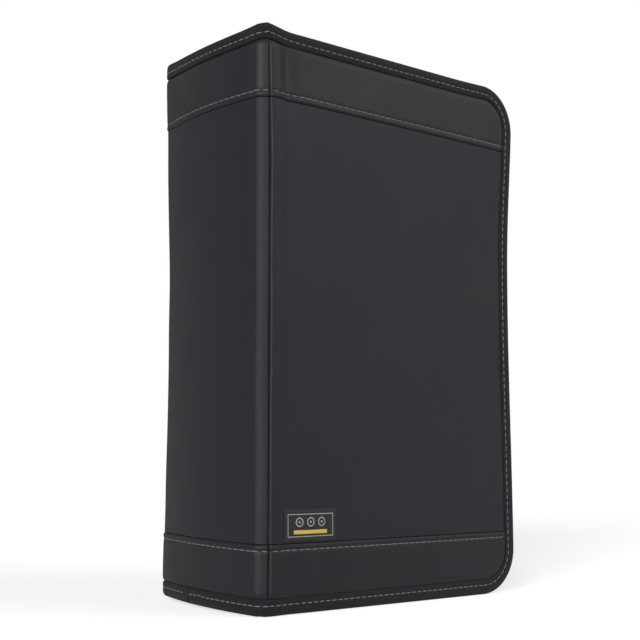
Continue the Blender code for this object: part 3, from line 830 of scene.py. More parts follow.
def free_edge(step, start):
    """Line round a cover's free edge, from the hinge at the top to the one at the bottom: places in the
    middle of the case, the way out and distance along."""
    radius = sizes().corner_radius
    straight, upright, quarter = COVER_WIDTH - radius - start, HEIGHT - 2 * radius, radius * PI / 2
    marks = np.cumsum([straight, quarter, upright, quarter])
    total = marks[-1] + straight
    along = np.linspace(0.0, total, int(round(total / step)) + 1)
    turned = (np.clip(along - marks[0], 0.0, quarter) + np.clip(along - marks[2], 0.0, quarter)) / radius
    outward = at(np.sin(turned), 0.0, np.cos(turned))
    x = HINGE_X + start + np.clip(along, 0.0, straight) - np.clip(along - marks[3], 0.0, straight)
    z = HEIGHT - radius - np.clip(along - marks[1], 0.0, upright)
    return at(x, 0.0, z) + radius * outward, outward, along


def edge_stations(side, step):
    """Stations round a cover's free edge: points on both faces, the way out and distance along."""
    edge, outward, along = free_edge(step, 0.1 * MM)
    lift = 0.55 * ridge_form(edge[:, 0] - HINGE_X)
    outer, inner = [edge + at(0.0, side * (HALF_DEPTH + out), 0.0) for out in (lift, -COVER_THICKNESS)]
    return outer, inner, outward, along


def facing_way(places, way):
    """One direction for all of some places."""
    return np.broadcast_to(np.array(way, dtype=float), places.shape)


def spine_stations(upright, step):
    """Stations along one end of the spine, from the front seam to the back seam."""
    line, along, _ = spine_line(0.25 * MM)
    even = np.linspace(0.0, along[-1], int(round(along[-1] / step)) + 1)
    x, y = [np.interp(even, along, line[:, k]) for k in range(2)]
    z = HEIGHT if upright > 0 else 0.0
    shoulder = HALF_DEPTH - COVER_THICKNESS
    inner_y = np.clip(y * shoulder / (HALF_DEPTH - CORNER_DEPTH), -shoulder, shoulder)
    inner_x = -0.1 * MM + 0.5 * MM * smooth(nearer(even, even[-1]) / (3 * MM))
    outer, inner = at(HINGE_X + np.minimum(x, -0.1 * MM), y, z), at(HINGE_X + inner_x, inner_y, z)
    return outer, inner, facing_way(outer, (0, 0, upright)), even


class CASE_OT_bindings(bpy.types.Operator):
    """Make the ribbed tapes folded round the covers' edges and the ends of the spine"""
    bl_idname = "disc_case.bindings"
    bl_label = "Edge Bindings"

    def execute(self, context):
        half_rib = sizes().rib_pitch / 2
        for prefix, side in SIDES:
            stations = edge_stations(side, half_rib)
            obj = folded_tape(f"{prefix}_edge_tape", *stations, 0.0 * stations[-1])
            dressed(obj, f"{prefix}_cover", "binding", f"{prefix}_edge_binding")
        for name, upright in ENDS:
            stations = spine_stations(upright, half_rib)
            along = stations[-1]
            extra = TAPE_LIFT * smooth(nearer(along, along[-1]) / (3 * MM))
            if upright < 0:
                past = along - JOIN_AT
                extra += np.where(past > 0, 0.45 * MM * np.exp(-np.maximum(past, 0.0) / (6 * MM)), 0.0)
            obj = folded_tape(f"spine_{name}_tape", *stations, extra)
            dressed(obj, "spine", "binding", f"spine_{name}_binding")
        return {"FINISHED"}


def vector(tree, **parts):
    """A place or a direction from its coordinates."""
    return term(tree, "ShaderNodeCombineXYZ", 0, **parts)


def thickened(tree, curve, share, gauge, sides, **caps):
    """A thread or a bar of a gauge along a curve, a share thicker or thinner from place to place."""
    shaped = term(tree, "GeometryNodeSetCurveRadius", "Curve", Curve=curve, Radius=share)
    ring = term(tree, "GeometryNodeCurvePrimitiveCircle", "Curve", Resolution=sides, Radius=gauge * 0.5)
    return term(tree, "GeometryNodeCurveToMesh", "Mesh", Curve=shaped, Profile_Curve=ring, **caps)


def stitch_part(tree, given):
    """One stitch: a short thread, arched over the cloth and thinner at its ends."""
    half = given["Length"] * 0.5
    ends = {"Start": vector(tree, X=half * -1.0), "End": vector(tree, X=half)}
    line = term(tree, "GeometryNodeCurvePrimitiveLine", "Curve", **ends)
    fine = term(tree, "GeometryNodeResampleCurve", "Curve", Curve=line, Count=6)
    middle = term(tree, "GeometryNodeSplineParameter", "Factor") * 2.0 - 1.0
    squared = middle * middle
    drop = vector(tree, Z=squared * -0.45 * given["Thread"])
    arched = term(tree, "GeometryNodeSetPosition", "Geometry", Geometry=fine, Offset=drop)
    return thickened(tree, arched, 1.0 - squared * squared * 0.45, given["Thread"], 6, Fill_Caps=True)


def coil_part(tree, given):
    """One turn of the zip's coil: a bent loop of moulded plastic, thicker at its head."""
    loop = term(tree, "GeometryNodeCurvePrimitiveCircle", "Curve", Resolution=10, Radius=1.0)
    x, y, _ = split(term(tree, "GeometryNodeInputPosition", "Position"))
    reach, rise, lean = x * (given["Reach"] * 0.5), y * (given["Height"] * 0.5), y * given["Gauge"] * 0.55
    bent = vector(tree, X=lean, Y=reach, Z=rise)
    loop = term(tree, "GeometryNodeSetPosition", "Geometry", Geometry=loop, Position=bent)
    share = calc("MULTIPLY_ADD", calc("GREATER_THAN", x, 0.4), 0.55, 1.0)
    return thickened(tree, loop, share, given["Gauge"], 5)


def row_tree(name, labels, part):
    """Geometry Nodes tree that lays copies of a part along paths, made when it is first needed."""
    if name in bpy.data.node_groups:
        return bpy.data.node_groups[name]
    tree = bpy.data.node_groups.new(name, "GeometryNodeTree")
    labels = ("Geometry", "Pitch", *labels, "Material")
    for label in labels:
        kind = label if label in ("Geometry", "Material") else "Float"
        tree.interface.new_socket(label, in_out="INPUT", socket_type=f"NodeSocket{kind}")
    tree.interface.new_socket("Geometry", in_out="OUTPUT", socket_type="NodeSocketGeometry")
    inputs = tree.nodes.new("NodeGroupInput").outputs
    given = {label: Term(tree, inputs[label]) for label in labels}
    path = term(tree, "GeometryNodeMeshToCurve", "Curve", Mesh=given["Geometry"])
    points = term(tree, "GeometryNodeResampleCurve", "Curve", {"mode": "LENGTH"}, Curve=path,
                  Length=given["Pitch"])
    turn = "FunctionNodeAlignRotationToVector"
    tangent = term(tree, "GeometryNodeInputTangent", "Tangent")
    outward = term(tree, "GeometryNodeInputNamedAttribute", "Attribute", {"data_type": "FLOAT_VECTOR"},
                   Name="face_out")
    first = term(tree, turn, "Rotation", {"axis": "X"}, Vector=tangent)
    second = term(tree, turn, "Rotation", {"axis": "Z", "pivot_axis": "X"}, Rotation=first, Vector=outward)
    rows = term(tree, "GeometryNodeInstanceOnPoints", "Instances", Points=points,
                Instance=part(tree, given), Rotation=second)
    real = term(tree, "GeometryNodeRealizeInstances", "Geometry", Geometry=rows)
    coated = term(tree, "GeometryNodeSetMaterial", "Geometry", Geometry=real, Material=given["Material"])
    feed(tree.nodes.new("NodeGroupOutput").inputs["Geometry"], coated)
    return tree


def grown(name, runs, tree, **inputs):
    """Run a Geometry Nodes tree on open paths and keep its result as a plain mesh. Each run is a pair:
    points, and the outward direction at each."""
    edges, start = [], 0
    for places, _ in runs:
        edges += [(start + k, start + k + 1) for k in range(len(places) - 1)]
        start += len(places)
    mesh = bpy.data.meshes.new(name)
    mesh.from_pydata(np.concatenate([places for places, _ in runs]).tolist(), edges, [])
    outward = np.concatenate([facing for _, facing in runs])
    layer = mesh.attributes.new("face_out", "FLOAT_VECTOR", "POINT")
    layer.data.foreach_set("vector", outward.astype(np.float32).ravel())
    obj = linked(name, mesh, 60.0)
    modifier = obj.modifiers.new("grow", "NODES")
    modifier.node_group = tree
    for item in tree.interface.items_tree:
        if item.in_out == "INPUT" and item.name in inputs:
            modifier[item.identifier] = inputs[item.name]
    bpy.context.view_layer.update()
    evaluated = obj.evaluated_get(bpy.context.evaluated_depsgraph_get())
    mesh = bpy.data.meshes.new_from_object(evaluated)
    obj.modifiers.remove(modifier)
    obj.data = mesh
    mesh.name = name
    if not mesh.polygons:
        raise RuntimeError(f"{name} has no faces")
    mesh.shade_smooth()
    mesh.set_sharp_from_angle(angle=math.radians(60))
    return obj


def trimmed(points, outward, start, end):
    """A path with a length cut off either end, its points kept close together."""
    along = travelled(points)
    inside = np.linspace(start, along[-1] - end, max(2, int((along[-1] - start - end) / MM)))
    return [np.stack([np.interp(inside, along, values[:, k]) for k in range(3)], -1)
            for values in (points, outward)]


def sewn(name, rows, pitch, stitch, thread, material, start, end):
    """A piece made of the stitches of some rows, each row cut off by a start and an end."""
    tree = row_tree("Stitch Row", ("Length", "Thread"), stitch_part)
    runs = [trimmed(places, facing, start, end) for places, facing in rows]
    return grown(name, runs, tree, Pitch=pitch, Length=stitch, Thread=thread,
                 Material=finish_named(material))


def binding_rows(outer, inner, outward, lift):
    """Stitch paths on both legs of a tape, the outer one first."""
    across = unit(inner - outer)
    inset = sizes().binding_stitch_inset + 0.9 * MM * np.abs(outward[:, 0:1])
    legs = ((outer, -across), (inner, across))
    return [(settle(edge - outward * inset + face * (lift + 0.02 * MM)), face) for edge, face in legs]


def band_rows_on_cover(side):
    """Topstitch paths of a cover's two bands."""
    size = sizes()
    x = np.arange(0.9 * MM, COVER_WIDTH - BINDING_WIDTH + 0.5 * MM, 0.8 * MM)
    rows = []
    for fold, direction in FOLDS:
        z = np.full_like(x, fold + direction * size.band_stitch_inset)
        places = on_cover(side, x, z, cover_rise(x, z) + size.band_lift - BAND_SINK)
        rows.append((places, facing_way(places, (0, side, 0))))
    return rows


def band_rows_on_spine():
    """Topstitch paths of the spine's two bands."""
    size = sizes()
    line, along, outward = spine_line(0.5 * MM)
    rows = []
    for fold, direction in FOLDS:
        z = np.full_like(along, fold + direction * size.band_stitch_inset)
        rise = spine_rise(along, z, along[-1]) + size.band_lift - BAND_SINK
        rows.append((settle(off_spine(line, outward, rise, z)), at(outward[:, 0], outward[:, 1], 0.0)))
    return rows


def spine_binding_rows():
    """Stitch paths of the spine's two tapes. At the joint of the bottom tape they stray and break off."""
    rows = []
    for upright in (1, -1):
        outer, inner, outward, along = spine_stations(upright, MM)
        both = binding_rows(outer, inner, outward, TAPE_LIFT)
        if upright < 0:
            stray = 0.55 * MM * np.sin(along * 1500.0) * bump(along, JOIN_AT - 8 * MM, 5 * MM)
            cut = np.searchsorted(along, JOIN_AT)
            gap = int(6 * MM / (along[1] - along[0]))
            both = [((places + outward * stray[:, None])[piece], facing[piece]) for places, facing in both
                    for piece in (slice(0, cut), slice(cut + gap, None))]
        rows += both
    return rows


class CASE_OT_stitches(bpy.types.Operator):
    """Sew the bindings and topstitch the bands"""
    bl_idname = "disc_case.stitches"
    bl_label = "Stitches"

    def execute(self, context):
        size = sizes()
        binding = (size.binding_stitch_pitch, size.binding_stitch_length, size.thread, "thread")
        band = (size.band_stitch_pitch, size.band_stitch_length, size.thread, "thread")
        for prefix, side in SIDES:
            rows = binding_rows(*edge_stations(side, MM)[:3], 0.0)
            obj = sewn(f"{prefix}_binding_stitches", rows, *binding, 2 * MM, 2 * MM)
            dressed(obj, f"{prefix}_cover", "binding")
            obj = sewn(f"{prefix}_band_stitches", band_rows_on_cover(side), *band, 2.6 * MM, 0.0)
            dressed(obj, f"{prefix}_cover", "band_nylon")
        obj = sewn("spine_binding_stitches", spine_binding_rows(), *binding, 1.6 * MM, 1.6 * MM)
        dressed(obj, "spine", "binding")
        obj = sewn("spine_band_stitches", band_rows_on_spine(), *band, 3.1 * MM, 3.1 * MM)
        dressed(obj, "spine", "band_nylon")
        return {"FINISHED"}


def seam_lines(low, high, inset, pairs):
    """Lines of 12 places between numbered corners of a rectangle that lies an inset inside another."""
    left, bottom, right, top = low[0] + inset, low[1] + inset, high[0] - inset, high[1] - inset
    corners = ((left, bottom), (right, bottom), (right, top), (left, top))
    return [np.linspace(corners[first], corners[last], 12).T for first, last in pairs]


ROUND = ((0, 1), (1, 2), (2, 3), (3, 0))


def on_patch(u, v, lift):
    """Settled places on the label patch, standing out from the cover's cloth by a lift."""
    x, z = PATCH_BOX[0].x - HINGE_X + u, PATCH_BOX[0].z + v
    return on_cover(-1, x, z, cover_rise(x, z) + lift)


class CASE_OT_label_patch(bpy.types.Operator):
    """Make the sewn patch with its plain disc marks"""
    bl_idname = "disc_case.label_patch"
    bl_label = "Label Patch"

    def execute(self, context):
        u, v = np.meshgrid(spaced(0.0, PATCH_WIDTH, 0.8 * MM), spaced(0.0, PATCH_HEIGHT, 0.8 * MM))
        edge = np.minimum(nearer(u, PATCH_WIDTH), nearer(v, PATCH_HEIGHT))
        roll = 0.35 * MM * np.clip(1 - edge / (0.8 * MM), 0, 1) ** 2
        lift = 0.55 * MM - roll - 0.12 * MM * bump(edge, 1.3 * MM, 0.4 * MM)
        obj = shell("front_label_cloth", on_patch(u, v, lift), on_patch(u, v, -0.05 * MM), (u, v), "label")
        dressed(obj, "front_cover", "label", "front_label_patch")
        rows = []
        for line in seam_lines((0.0, 0.0), (PATCH_WIDTH, PATCH_HEIGHT), 1.3 * MM, ROUND):
            places = on_patch(*line, 0.5 * MM)
            rows.append((places, facing_way(places, (0, -1, 0))))
        obj = sewn("front_label_stitches", rows, 1.6 * MM, 1.25 * MM, 0.32 * MM, "dark_thread",
                   0.6 * MM, 0.6 * MM)
        dressed(obj, "front_cover", "label")
        return {"FINISHED"}


def edge_strip(name, side, near, far, inset, thickness, bulge, material):
    """A strip of cloth that runs round a cover's three free edges between two distances from the middle."""
    edge, out, along = free_edge(1.4 * MM, STRIP_START)
    across = spaced(near, far, 2.4 * MM)
    arch = np.sin(PI * (across - near) / (far - near))
    lift = (bulge + 0.25 * MM * np.sin(along * 70.0))[:, None] * arch

    def face(depth):
        places = edge[:, None] - out[:, None] * (depth - lift)[..., None]
        places[..., 1] = side * across
        return settle(places)

    return shell(name, face(inset), face(inset + thickness), (along[:, None], across), material)


def bend_at_hinge(obj):
    """Bake the cloth's placing into its mesh."""
    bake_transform(obj)


def strip_row(side, reach, inset):
    """A path along an edge strip, with its outward direction."""
    edge, outward, _ = free_edge(MM, STRIP_START)
    return settle(edge + at(0.0, side * reach, 0.0) - outward * inset), outward


def make_end_tab(name, upright):
    """A folded tab of cloth sewn to the spine over the ends of the zip."""
    low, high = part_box("top_gusset_end")
    start, end = low.x, HINGE_X + 14.1 * MM
    half = GUSSET_BOX[0].y - 0.4 * MM
    x, y = np.meshgrid(spaced(start, end, 0.7 * MM), spaced(-half, half, 0.9 * MM))
    edge = np.minimum(end - x, half - np.abs(y))
    roll = 0.45 * MM * np.clip(1 - edge / (0.9 * MM), 0, 1) ** 2
    level = high.z - roll - 0.22 * MM * bump(edge, 1.9 * MM, 0.5 * MM) + 0.12 * MM * bump(y, 0.0, 3.5 * MM)

    def ended(z):
        return z if upright > 0 else HEIGHT - z

    obj = shell(f"{name}_end_tab", at(x, y, ended(level)), at(x, y, ended(low.z)), (x, y), "band")
    dressed(obj, "spine", "gusset", f"{name}_gusset_end")
    rows = []
    for line in seam_lines((start, -half), (end, half), 1.9 * MM, (*ROUND, (0, 2), (1, 3))):
        places = at(*line, ended(high.z - 0.02 * MM))
        rows.append((places, facing_way(places, (0, 0, upright))))
    obj = sewn(f"{name}_tab_stitches", rows, 2.2 * MM, 1.6 * MM, 0.38 * MM, "dark_thread",
               0.8 * MM, 0.8 * MM)
    dressed(obj, "spine", "gusset")


class CASE_OT_gussets(bpy.types.Operator):
    """Make the side walls that join each cover to the zip, and the tabs over the zip's ends"""
    bl_idname = "disc_case.gussets"
    bl_label = "Gussets"

    def execute(self, context):
        near, far = GUSSET_BOX[0].y, GUSSET_BOX[1].y
        inset = HEIGHT - GUSSET_BOX[1].z
        girth = float(free_edge(MM, STRIP_START)[2][-1])
        for prefix, side in SIDES:
            obj = edge_strip(f"{prefix}_gusset_cloth", side, near, far, inset, 0.8 * MM, 0.7 * MM, "panel")
            dressed(obj, None, "gusset", f"{prefix}_gusset")
            bend_at_hinge(obj)
            rows = [strip_row(side, near + 1.4 * MM, inset),
                    strip_row(side, near + 3.6 * MM, inset - 0.1 * MM)]
            obj = sewn(f"{prefix}_gusset_stitches", rows, 2.6 * MM, 1.9 * MM, 0.40 * MM, "dark_thread",
                       1.2 * MM, 1.2 * MM)
            dressed(obj, None, "gusset")
            bend_at_hinge(obj)
        for name, upright in ENDS:
            make_end_tab(name, upright)
        return {"FINISHED"}


def coil(name, runs):
    """Turns of the zip's coil along some runs."""
    tree = row_tree("Zip Coil", ("Reach", "Height", "Gauge"), coil_part)
    return grown(name, runs, tree, Pitch=COIL_PITCH, Reach=2.9 * MM, Height=1.5 * MM, Gauge=0.55 * MM,
                 Material=finish_named("coil"))


def coil_run(side):
    """Middle line of one coil round a cover's free edges, its teeth to the middle."""
    edge, outward, _ = free_edge(0.5 * MM, STRIP_START)
    points = edge + at(0.0, side * COIL_REACH, 0.0) - outward * (HEIGHT - ZIP_Z)
    keep = edge[:, 0] >= HINGE_X + COIL_FROM
    points, outward = points[keep], outward[keep]
    if side > 0:
        points, outward = points[::-1], outward[::-1]
    return trimmed(points, outward, 0.0 if side < 0 else COIL_PITCH / 2, 0.1 * MM)


def end_run(side, upright):
    """Middle line of the last turns of one coil, under an end tab."""
    start = CHAIN_START + 0.6 * MM + (0.0 if side < 0 else COIL_PITCH / 2)
    x = np.arange(start, CHAIN_START + 8.2 * MM, 0.5 * MM)
    points = at(x, side * COIL_REACH, ZIP_Z if upright > 0 else HEIGHT - ZIP_Z)
    return points[::-1] if side * upright > 0 else points, facing_way(points, (0, 0, upright))


class CASE_OT_zip(bpy.types.Operator):
    """Make the zip's two tapes and the coils of teeth on them"""
    bl_idname = "disc_case.zip"
    bl_label = "Zip"

    def execute(self, context):
        near, far = 1.0 * MM, TAPE_BOX[1].y
        inset = HEIGHT - TAPE_BOX[1].z
        girth = float(free_edge(MM, STRIP_START)[2][-1])
        for prefix, side in SIDES:
            obj = edge_strip(f"{prefix}_zip_tape_cloth", side, near, far, inset, 0.5 * MM, 0.0, "zip_tape")
            ends = [f"{name}_tape_end_{prefix}" for name, _ in ENDS]
            dressed(obj, None, "zip_tape", f"{prefix}_zip_tape", *ends)
            bend_at_hinge(obj)
            obj = coil(f"{prefix}_zip_coil", [coil_run(side)])
            dressed(obj, None, "zip_chain", f"{prefix}_zip_chain")
            bend_at_hinge(obj)
        for name, upright in ENDS:
            obj = coil(f"{name}_end_teeth", [end_run(side, upright) for _, side in SIDES])
            dressed(obj, "spine", "zip_chain", f"{name}_chain_end_front", f"{name}_chain_end_back")
            frame["nodes"][f"{name}_zip_stop"].material_slots[0].material = finish_named("metal")
        return {"FINISHED"}


def rounded(points, radius, facets=5):
    """A closed outline of some points and of their mirror images across the x axis, its corners rounded."""
    places = [Vector(point) for point in points + [(x, -y) for x, y in reversed(points)]]
    result = []
    for index, corner in enumerate(places):
        before = places[index - 1] - corner
        after = places[(index + 1) % len(places)] - corner
        reach = min(radius, before.length * 0.45, after.length * 0.45)
        first, last = corner + before.normalized() * reach, corner + after.normalized() * reach
        for share in (step / facets for step in range(facets + 1)):
            result.append((1 - share) ** 2 * first + 2 * share * (1 - share) * corner + share ** 2 * last)
    return [(place.x, place.y) for place in result]


def add_walls(bm, rings):
    """Add the faces between a row of rings of vertices."""
    for lower, upper in zip(rings, rings[1:]):
        for index in range(len(lower)):
            after = (index + 1) % len(lower)
            bm.faces.new((lower[index], lower[after], upper[after], upper[index]))


def add_ring(bm, points, shrink, z):
    """Add a ring of vertices at a level, drawn in towards the middle of its outline."""
    middle = Vector((sum(p[0] for p in points) / len(points), sum(p[1] for p in points) / len(points)))
    made = []
    for index, (x, y) in enumerate(points):
        ahead, behind = Vector(points[(index + 1) % len(points)]), Vector(points[index - 1])
        way = (ahead - behind).normalized()
        normal = Vector((way.y, -way.x))
        if normal.dot(Vector((x, y)) - middle) < 0:
            normal = -normal
        made.append(bm.verts.new((x - normal.x * shrink, y - normal.y * shrink, z)))
    return made


def add_plate(bm, outline, low, high, chamfer, holes=()):
    """Add a flat plate, its two faces drawn in by a chamfer, with holes through it where asked."""
    faces = ([], [])
    for points, drawn in [(outline, chamfer)] + [(hole, -chamfer) for hole in holes]:
        levels = ((drawn, low), (0.0, low + chamfer), (0.0, high - chamfer), (drawn, high))
        rings = [add_ring(bm, points, shrink, z) for shrink, z in levels]
        add_walls(bm, rings)
        faces[0].append(rings[0])
        faces[1].append(rings[-1])
    for loops in faces:
        if not holes:
            bm.faces.new(loops[0])
            continue
        borders = [bm.edges.get((loop[index], loop[(index + 1) % len(loop)])) for loop in loops
                   for index in range(len(loop))]
        bmesh.ops.triangle_fill(bm, use_beauty=True, use_dissolve=False, edges=borders)


def add_bar(bm, path, radius, sides=10):
    """Add a bar along a path of points in the x-z plane, a little wider in y than it is thick."""
    rings = []
    for index, place in enumerate(path):
        before, after = path[max(index - 1, 0)], path[min(index + 1, len(path) - 1)]
        way = Vector((after[0] - before[0], 0.0, after[2] - before[2])).normalized()
        normal = Vector((-way.z, 0.0, way.x))
        made = []
        for turn in (2 * PI * step / sides for step in range(sides)):
            wide = Vector((0, 1, 0)) * radius * 1.35 * math.cos(turn)
            made.append(bm.verts.new(Vector(place) + normal * radius * math.sin(turn) + wide))
        rings.append(made)
    add_walls(bm, rings)
    bm.faces.new(rings[0])
    bm.faces.new(rings[-1])


def metal_object(name, bm, body, node):
    """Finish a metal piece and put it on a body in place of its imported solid."""
    bmesh.ops.recalc_face_normals(bm, faces=bm.faces)
    mesh = bpy.data.meshes.new(name)
    bm.to_mesh(mesh)
    bm.free()
    mesh.materials.append(finish_named("metal"))
    dressed(linked(name, mesh, 35.0), body, "dark_metal", node)


class CASE_OT_slider(bpy.types.Operator):
    """Make the zip's slider and its pull"""
    bl_idname = "disc_case.slider"
    bl_label = "Slider and Pull"

    def execute(self, context):
        low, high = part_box("zip_slider")
        start, end, wide = low.x, high.x, -low.y
        reach = (end - start) / 10
        outline = rounded([(start, 3.2 * MM), (start + reach, wide + 0.6 * MM),
                           (start + 4 * reach, wide + 0.5 * MM), (start + 7 * reach, wide),
                           (end, wide - 0.1 * MM)], 1.1 * MM)
        lip_start, lip_end, lip_inner = start + 3.2 * reach, end - 0.25 * MM, wide - 0.9 * MM
        gap, plate = 1.1 * MM, 1.0 * MM
        bm = bmesh.new()
        for sign in (1, -1):
            near, far = sorted((ZIP_Z + sign * gap, ZIP_Z + sign * (gap + plate)))
            add_plate(bm, outline, near, far, 0.28 * MM)
            for side in (-1, 1):
                lip = [(lip_start, side * lip_inner), (lip_start, side * (wide + 0.05 * MM)),
                       (lip_end, side * (wide - 0.15 * MM)), (lip_end, side * lip_inner)]
                near, far = sorted((ZIP_Z + sign * 0.6 * MM, ZIP_Z + sign * (gap + 0.3 * MM)))
                add_plate(bm, lip, near, far, 0.12 * MM)
        post = rounded([(start + 0.5 * MM, -0.6 * MM), (start + 3.0 * MM, -0.3 * MM)], 0.3 * MM)
        add_plate(bm, post, ZIP_Z - gap - 0.2 * MM, ZIP_Z + gap + 0.2 * MM, 0.05 * MM)
        middle, foot = 1.2 * MM, ZIP_Z + gap + plate - 0.4 * MM
        turns = [PI * step / 14 for step in range(15)]
        arch = [(PIVOT.x + middle * math.cos(t), 0.0, PIVOT.z + middle * math.sin(t)) for t in turns]
        add_bar(bm, [(PIVOT.x + middle, 0.0, foot), *arch, (PIVOT.x - middle, 0.0, foot)], 0.42 * MM)
        metal_object("zip_slider_body", bm, "slider", "zip_slider")
        self.make_pull()
        return {"FINISHED"}

    def make_pull(self):
        """The pull: an eye round the slider's bridge, a neck and a rounded grip with ridges and a hole."""
        low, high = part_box("pull_tab")
        tip, half, start = high.x, high.y, PIVOT.x
        outline = rounded([(start - 0.5 * MM, 1.9 * MM), (start + 2.8 * MM, 2.2 * MM),
                           (start + 4.6 * MM, 1.7 * MM), (start + 8.0 * MM, 2.0 * MM),
                           (start + 11.5 * MM, half), (tip - 3.0 * MM, half),
                           (tip - 0.7 * MM, half * 0.62), (tip, half * 0.2)], 1.6 * MM)
        eye = rounded([(start + 0.5 * MM, -1.3 * MM), (start + 2.4 * MM, -1.3 * MM)], 0.4 * MM, 3)
        turns = [2 * PI * step / 20 for step in range(20)]
        hole = [(tip - 4.2 * MM + 1.25 * MM * math.cos(t), 1.25 * MM * math.sin(t)) for t in turns]
        bm = bmesh.new()
        add_plate(bm, outline, low.z, high.z, 0.22 * MM, holes=(eye, hole))
        for step in range(5):
            place = start + (11.8 + 1.5 * step) * MM
            ridge = rounded([(place, -2.3 * MM), (place + 0.7 * MM, -2.3 * MM)], 0.3 * MM, 3)
            add_plate(bm, ridge, high.z - 0.3 * MM, high.z + 0.22 * MM, 0.10 * MM)
        metal_object("zip_pull", bm, "pull", "pull_tab")


def hinge_cloth(prefix, side):
    """A soft strip of lining that closes the inside of a hinge, from the spine's lining to the cover's."""
    low, high = SPINE_LINING_BOX
    inner_y = min(abs(LINING_BOX[0].y), abs(LINING_BOX[1].y))
    start = np.array([high.x + 0.15 * MM, high.y - 4.5 * MM])
    middle = np.array([high.x + 0.6 * MM, high.y + 1.8 * MM])
    end = np.array([HINGE_X + 6.5 * MM, inner_y - 0.3 * MM])
    share = np.linspace(0, 1, 15)[:, None]
    line = (1 - share) ** 2 * start + 2 * share * (1 - share) * middle + share ** 2 * end
    way = unit(np.gradient(line, axis=0))
    levels = spaced(low.z + 0.2 * MM, high.z - 0.2 * MM, 6 * MM)
    ripple = 0.25 * MM * np.sin(levels * 90.0) * np.sin(PI * share)

    def face(offset):
        out = offset + ripple
        return at(line[:, 0:1] + way[:, 1:2] * out, (line[:, 1:2] - way[:, 0:1] * out) * side, levels)

    girth = travelled(line)
    obj = shell(f"{prefix}_hinge_lining", face(0.4 * MM), face(0.0), (girth[:, None], levels), "lining")
    dressed(obj, None, "lining")
    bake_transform(obj)


class CASE_OT_hinge_linings(bpy.types.Operator):
    """Make the soft lining strips inside the two hinges"""
    bl_idname = "disc_case.hinge_linings"
    bl_label = "Hinge Linings"

    def execute(self, context):
        for prefix, side in SIDES:
            hinge_cloth(prefix, side)
        return {"FINISHED"}


def leaf_outline(left, right, low, high, radius, notch=0.0):
    """Outline of a rounded sheet, with a half-round thumb notch in its right edge where asked."""
    def arc(x, z, size, first, last, step=15):
        turns = [math.radians(turn) for turn in range(first, last + step, step)]
        return [(x + size * math.cos(turn), z + size * math.sin(turn)) for turn in turns]

    small = radius / 3
    points = arc(right - radius, low + radius, radius, -90, 0)
    if notch:
        points += arc(right, (low + high) / 2, notch, -90, -270, -15)
    points += arc(right - radius, high - radius, radius, 0, 90)
    points += arc(left + small, high - small, small, 90, 180)
    return points + arc(left + small, low + small, small, 180, 270)


def flat_leaf(name, outline, level, thickness, rank, material):
    """A thin sheet of a given outline standing in the page block at a depth, swaying with its leaf."""
    bm = bmesh.new()
    bm.faces.new([bm.verts.new((x, 0.0, z)) for x, z in outline])
    left, right = min(p[0] for p in outline), max(p[0] for p in outline)
    low, high = min(p[1] for p in outline), max(p[1] for p in outline)
    cuts = [((cut, 0, 0), (1, 0, 0)) for cut in spaced(left + 12 * MM, right - 6 * MM, 12 * MM)]
    cuts += [((0, 0, cut), (0, 0, 1)) for cut in spaced(low + 18 * MM, high - 6 * MM, 18 * MM)]
    for place, way in cuts:
        geometry = bm.verts[:] + bm.edges[:] + bm.faces[:]
        bmesh.ops.bisect_plane(bm, geom=geometry, plane_co=place, plane_no=way)
    bmesh.ops.triangulate(bm, faces=bm.faces[:])
    bm.verts.index_update()
    x, _, z = np.array([vertex.co for vertex in bm.verts]).T
    faces = [tuple(vertex.index for vertex in face.verts) for face in bm.faces]
    bm.free()
    pairs = [(face[k], face[(k + 1) % 3]) for face in faces for k in range(3)]
    known = set(pairs)
    reach = (x - PAGE_BOX[0].x) / (PAGE_BOX[1].x - PAGE_BOX[0].x)
    sway = 0.28 * MM * np.sin(17.0 * reach + 1.9 * rank) * reach
    sway += 0.20 * MM * np.sin(z * 31.0 + 2.3 * rank) * reach
    near = at(x, level + sway - thickness / 2, z)
    count = len(x)
    solid = faces + [tuple(vertex + count for vertex in reversed(face)) for face in faces]
    rim = [(first, last) for first, last in pairs if (last, first) not in known]
    solid += [(last, first, first + count, last + count) for first, last in rim]
    points = np.concatenate([near, near + np.array([0.0, thickness, 0.0])])
    return mesh_object(name, points, solid, material, points[:, [0, 2]], 60.0)


def merged(name, objects):
    """Join some finished mesh objects into one and return it."""
    bpy.ops.object.select_all(action="DESELECT")
    for obj in objects:
        obj.select_set(True)
    bpy.context.view_layer.objects.active = objects[0]
    bpy.ops.object.join()
    objects[0].name = name
    objects[0].data.name = name
    return objects[0]


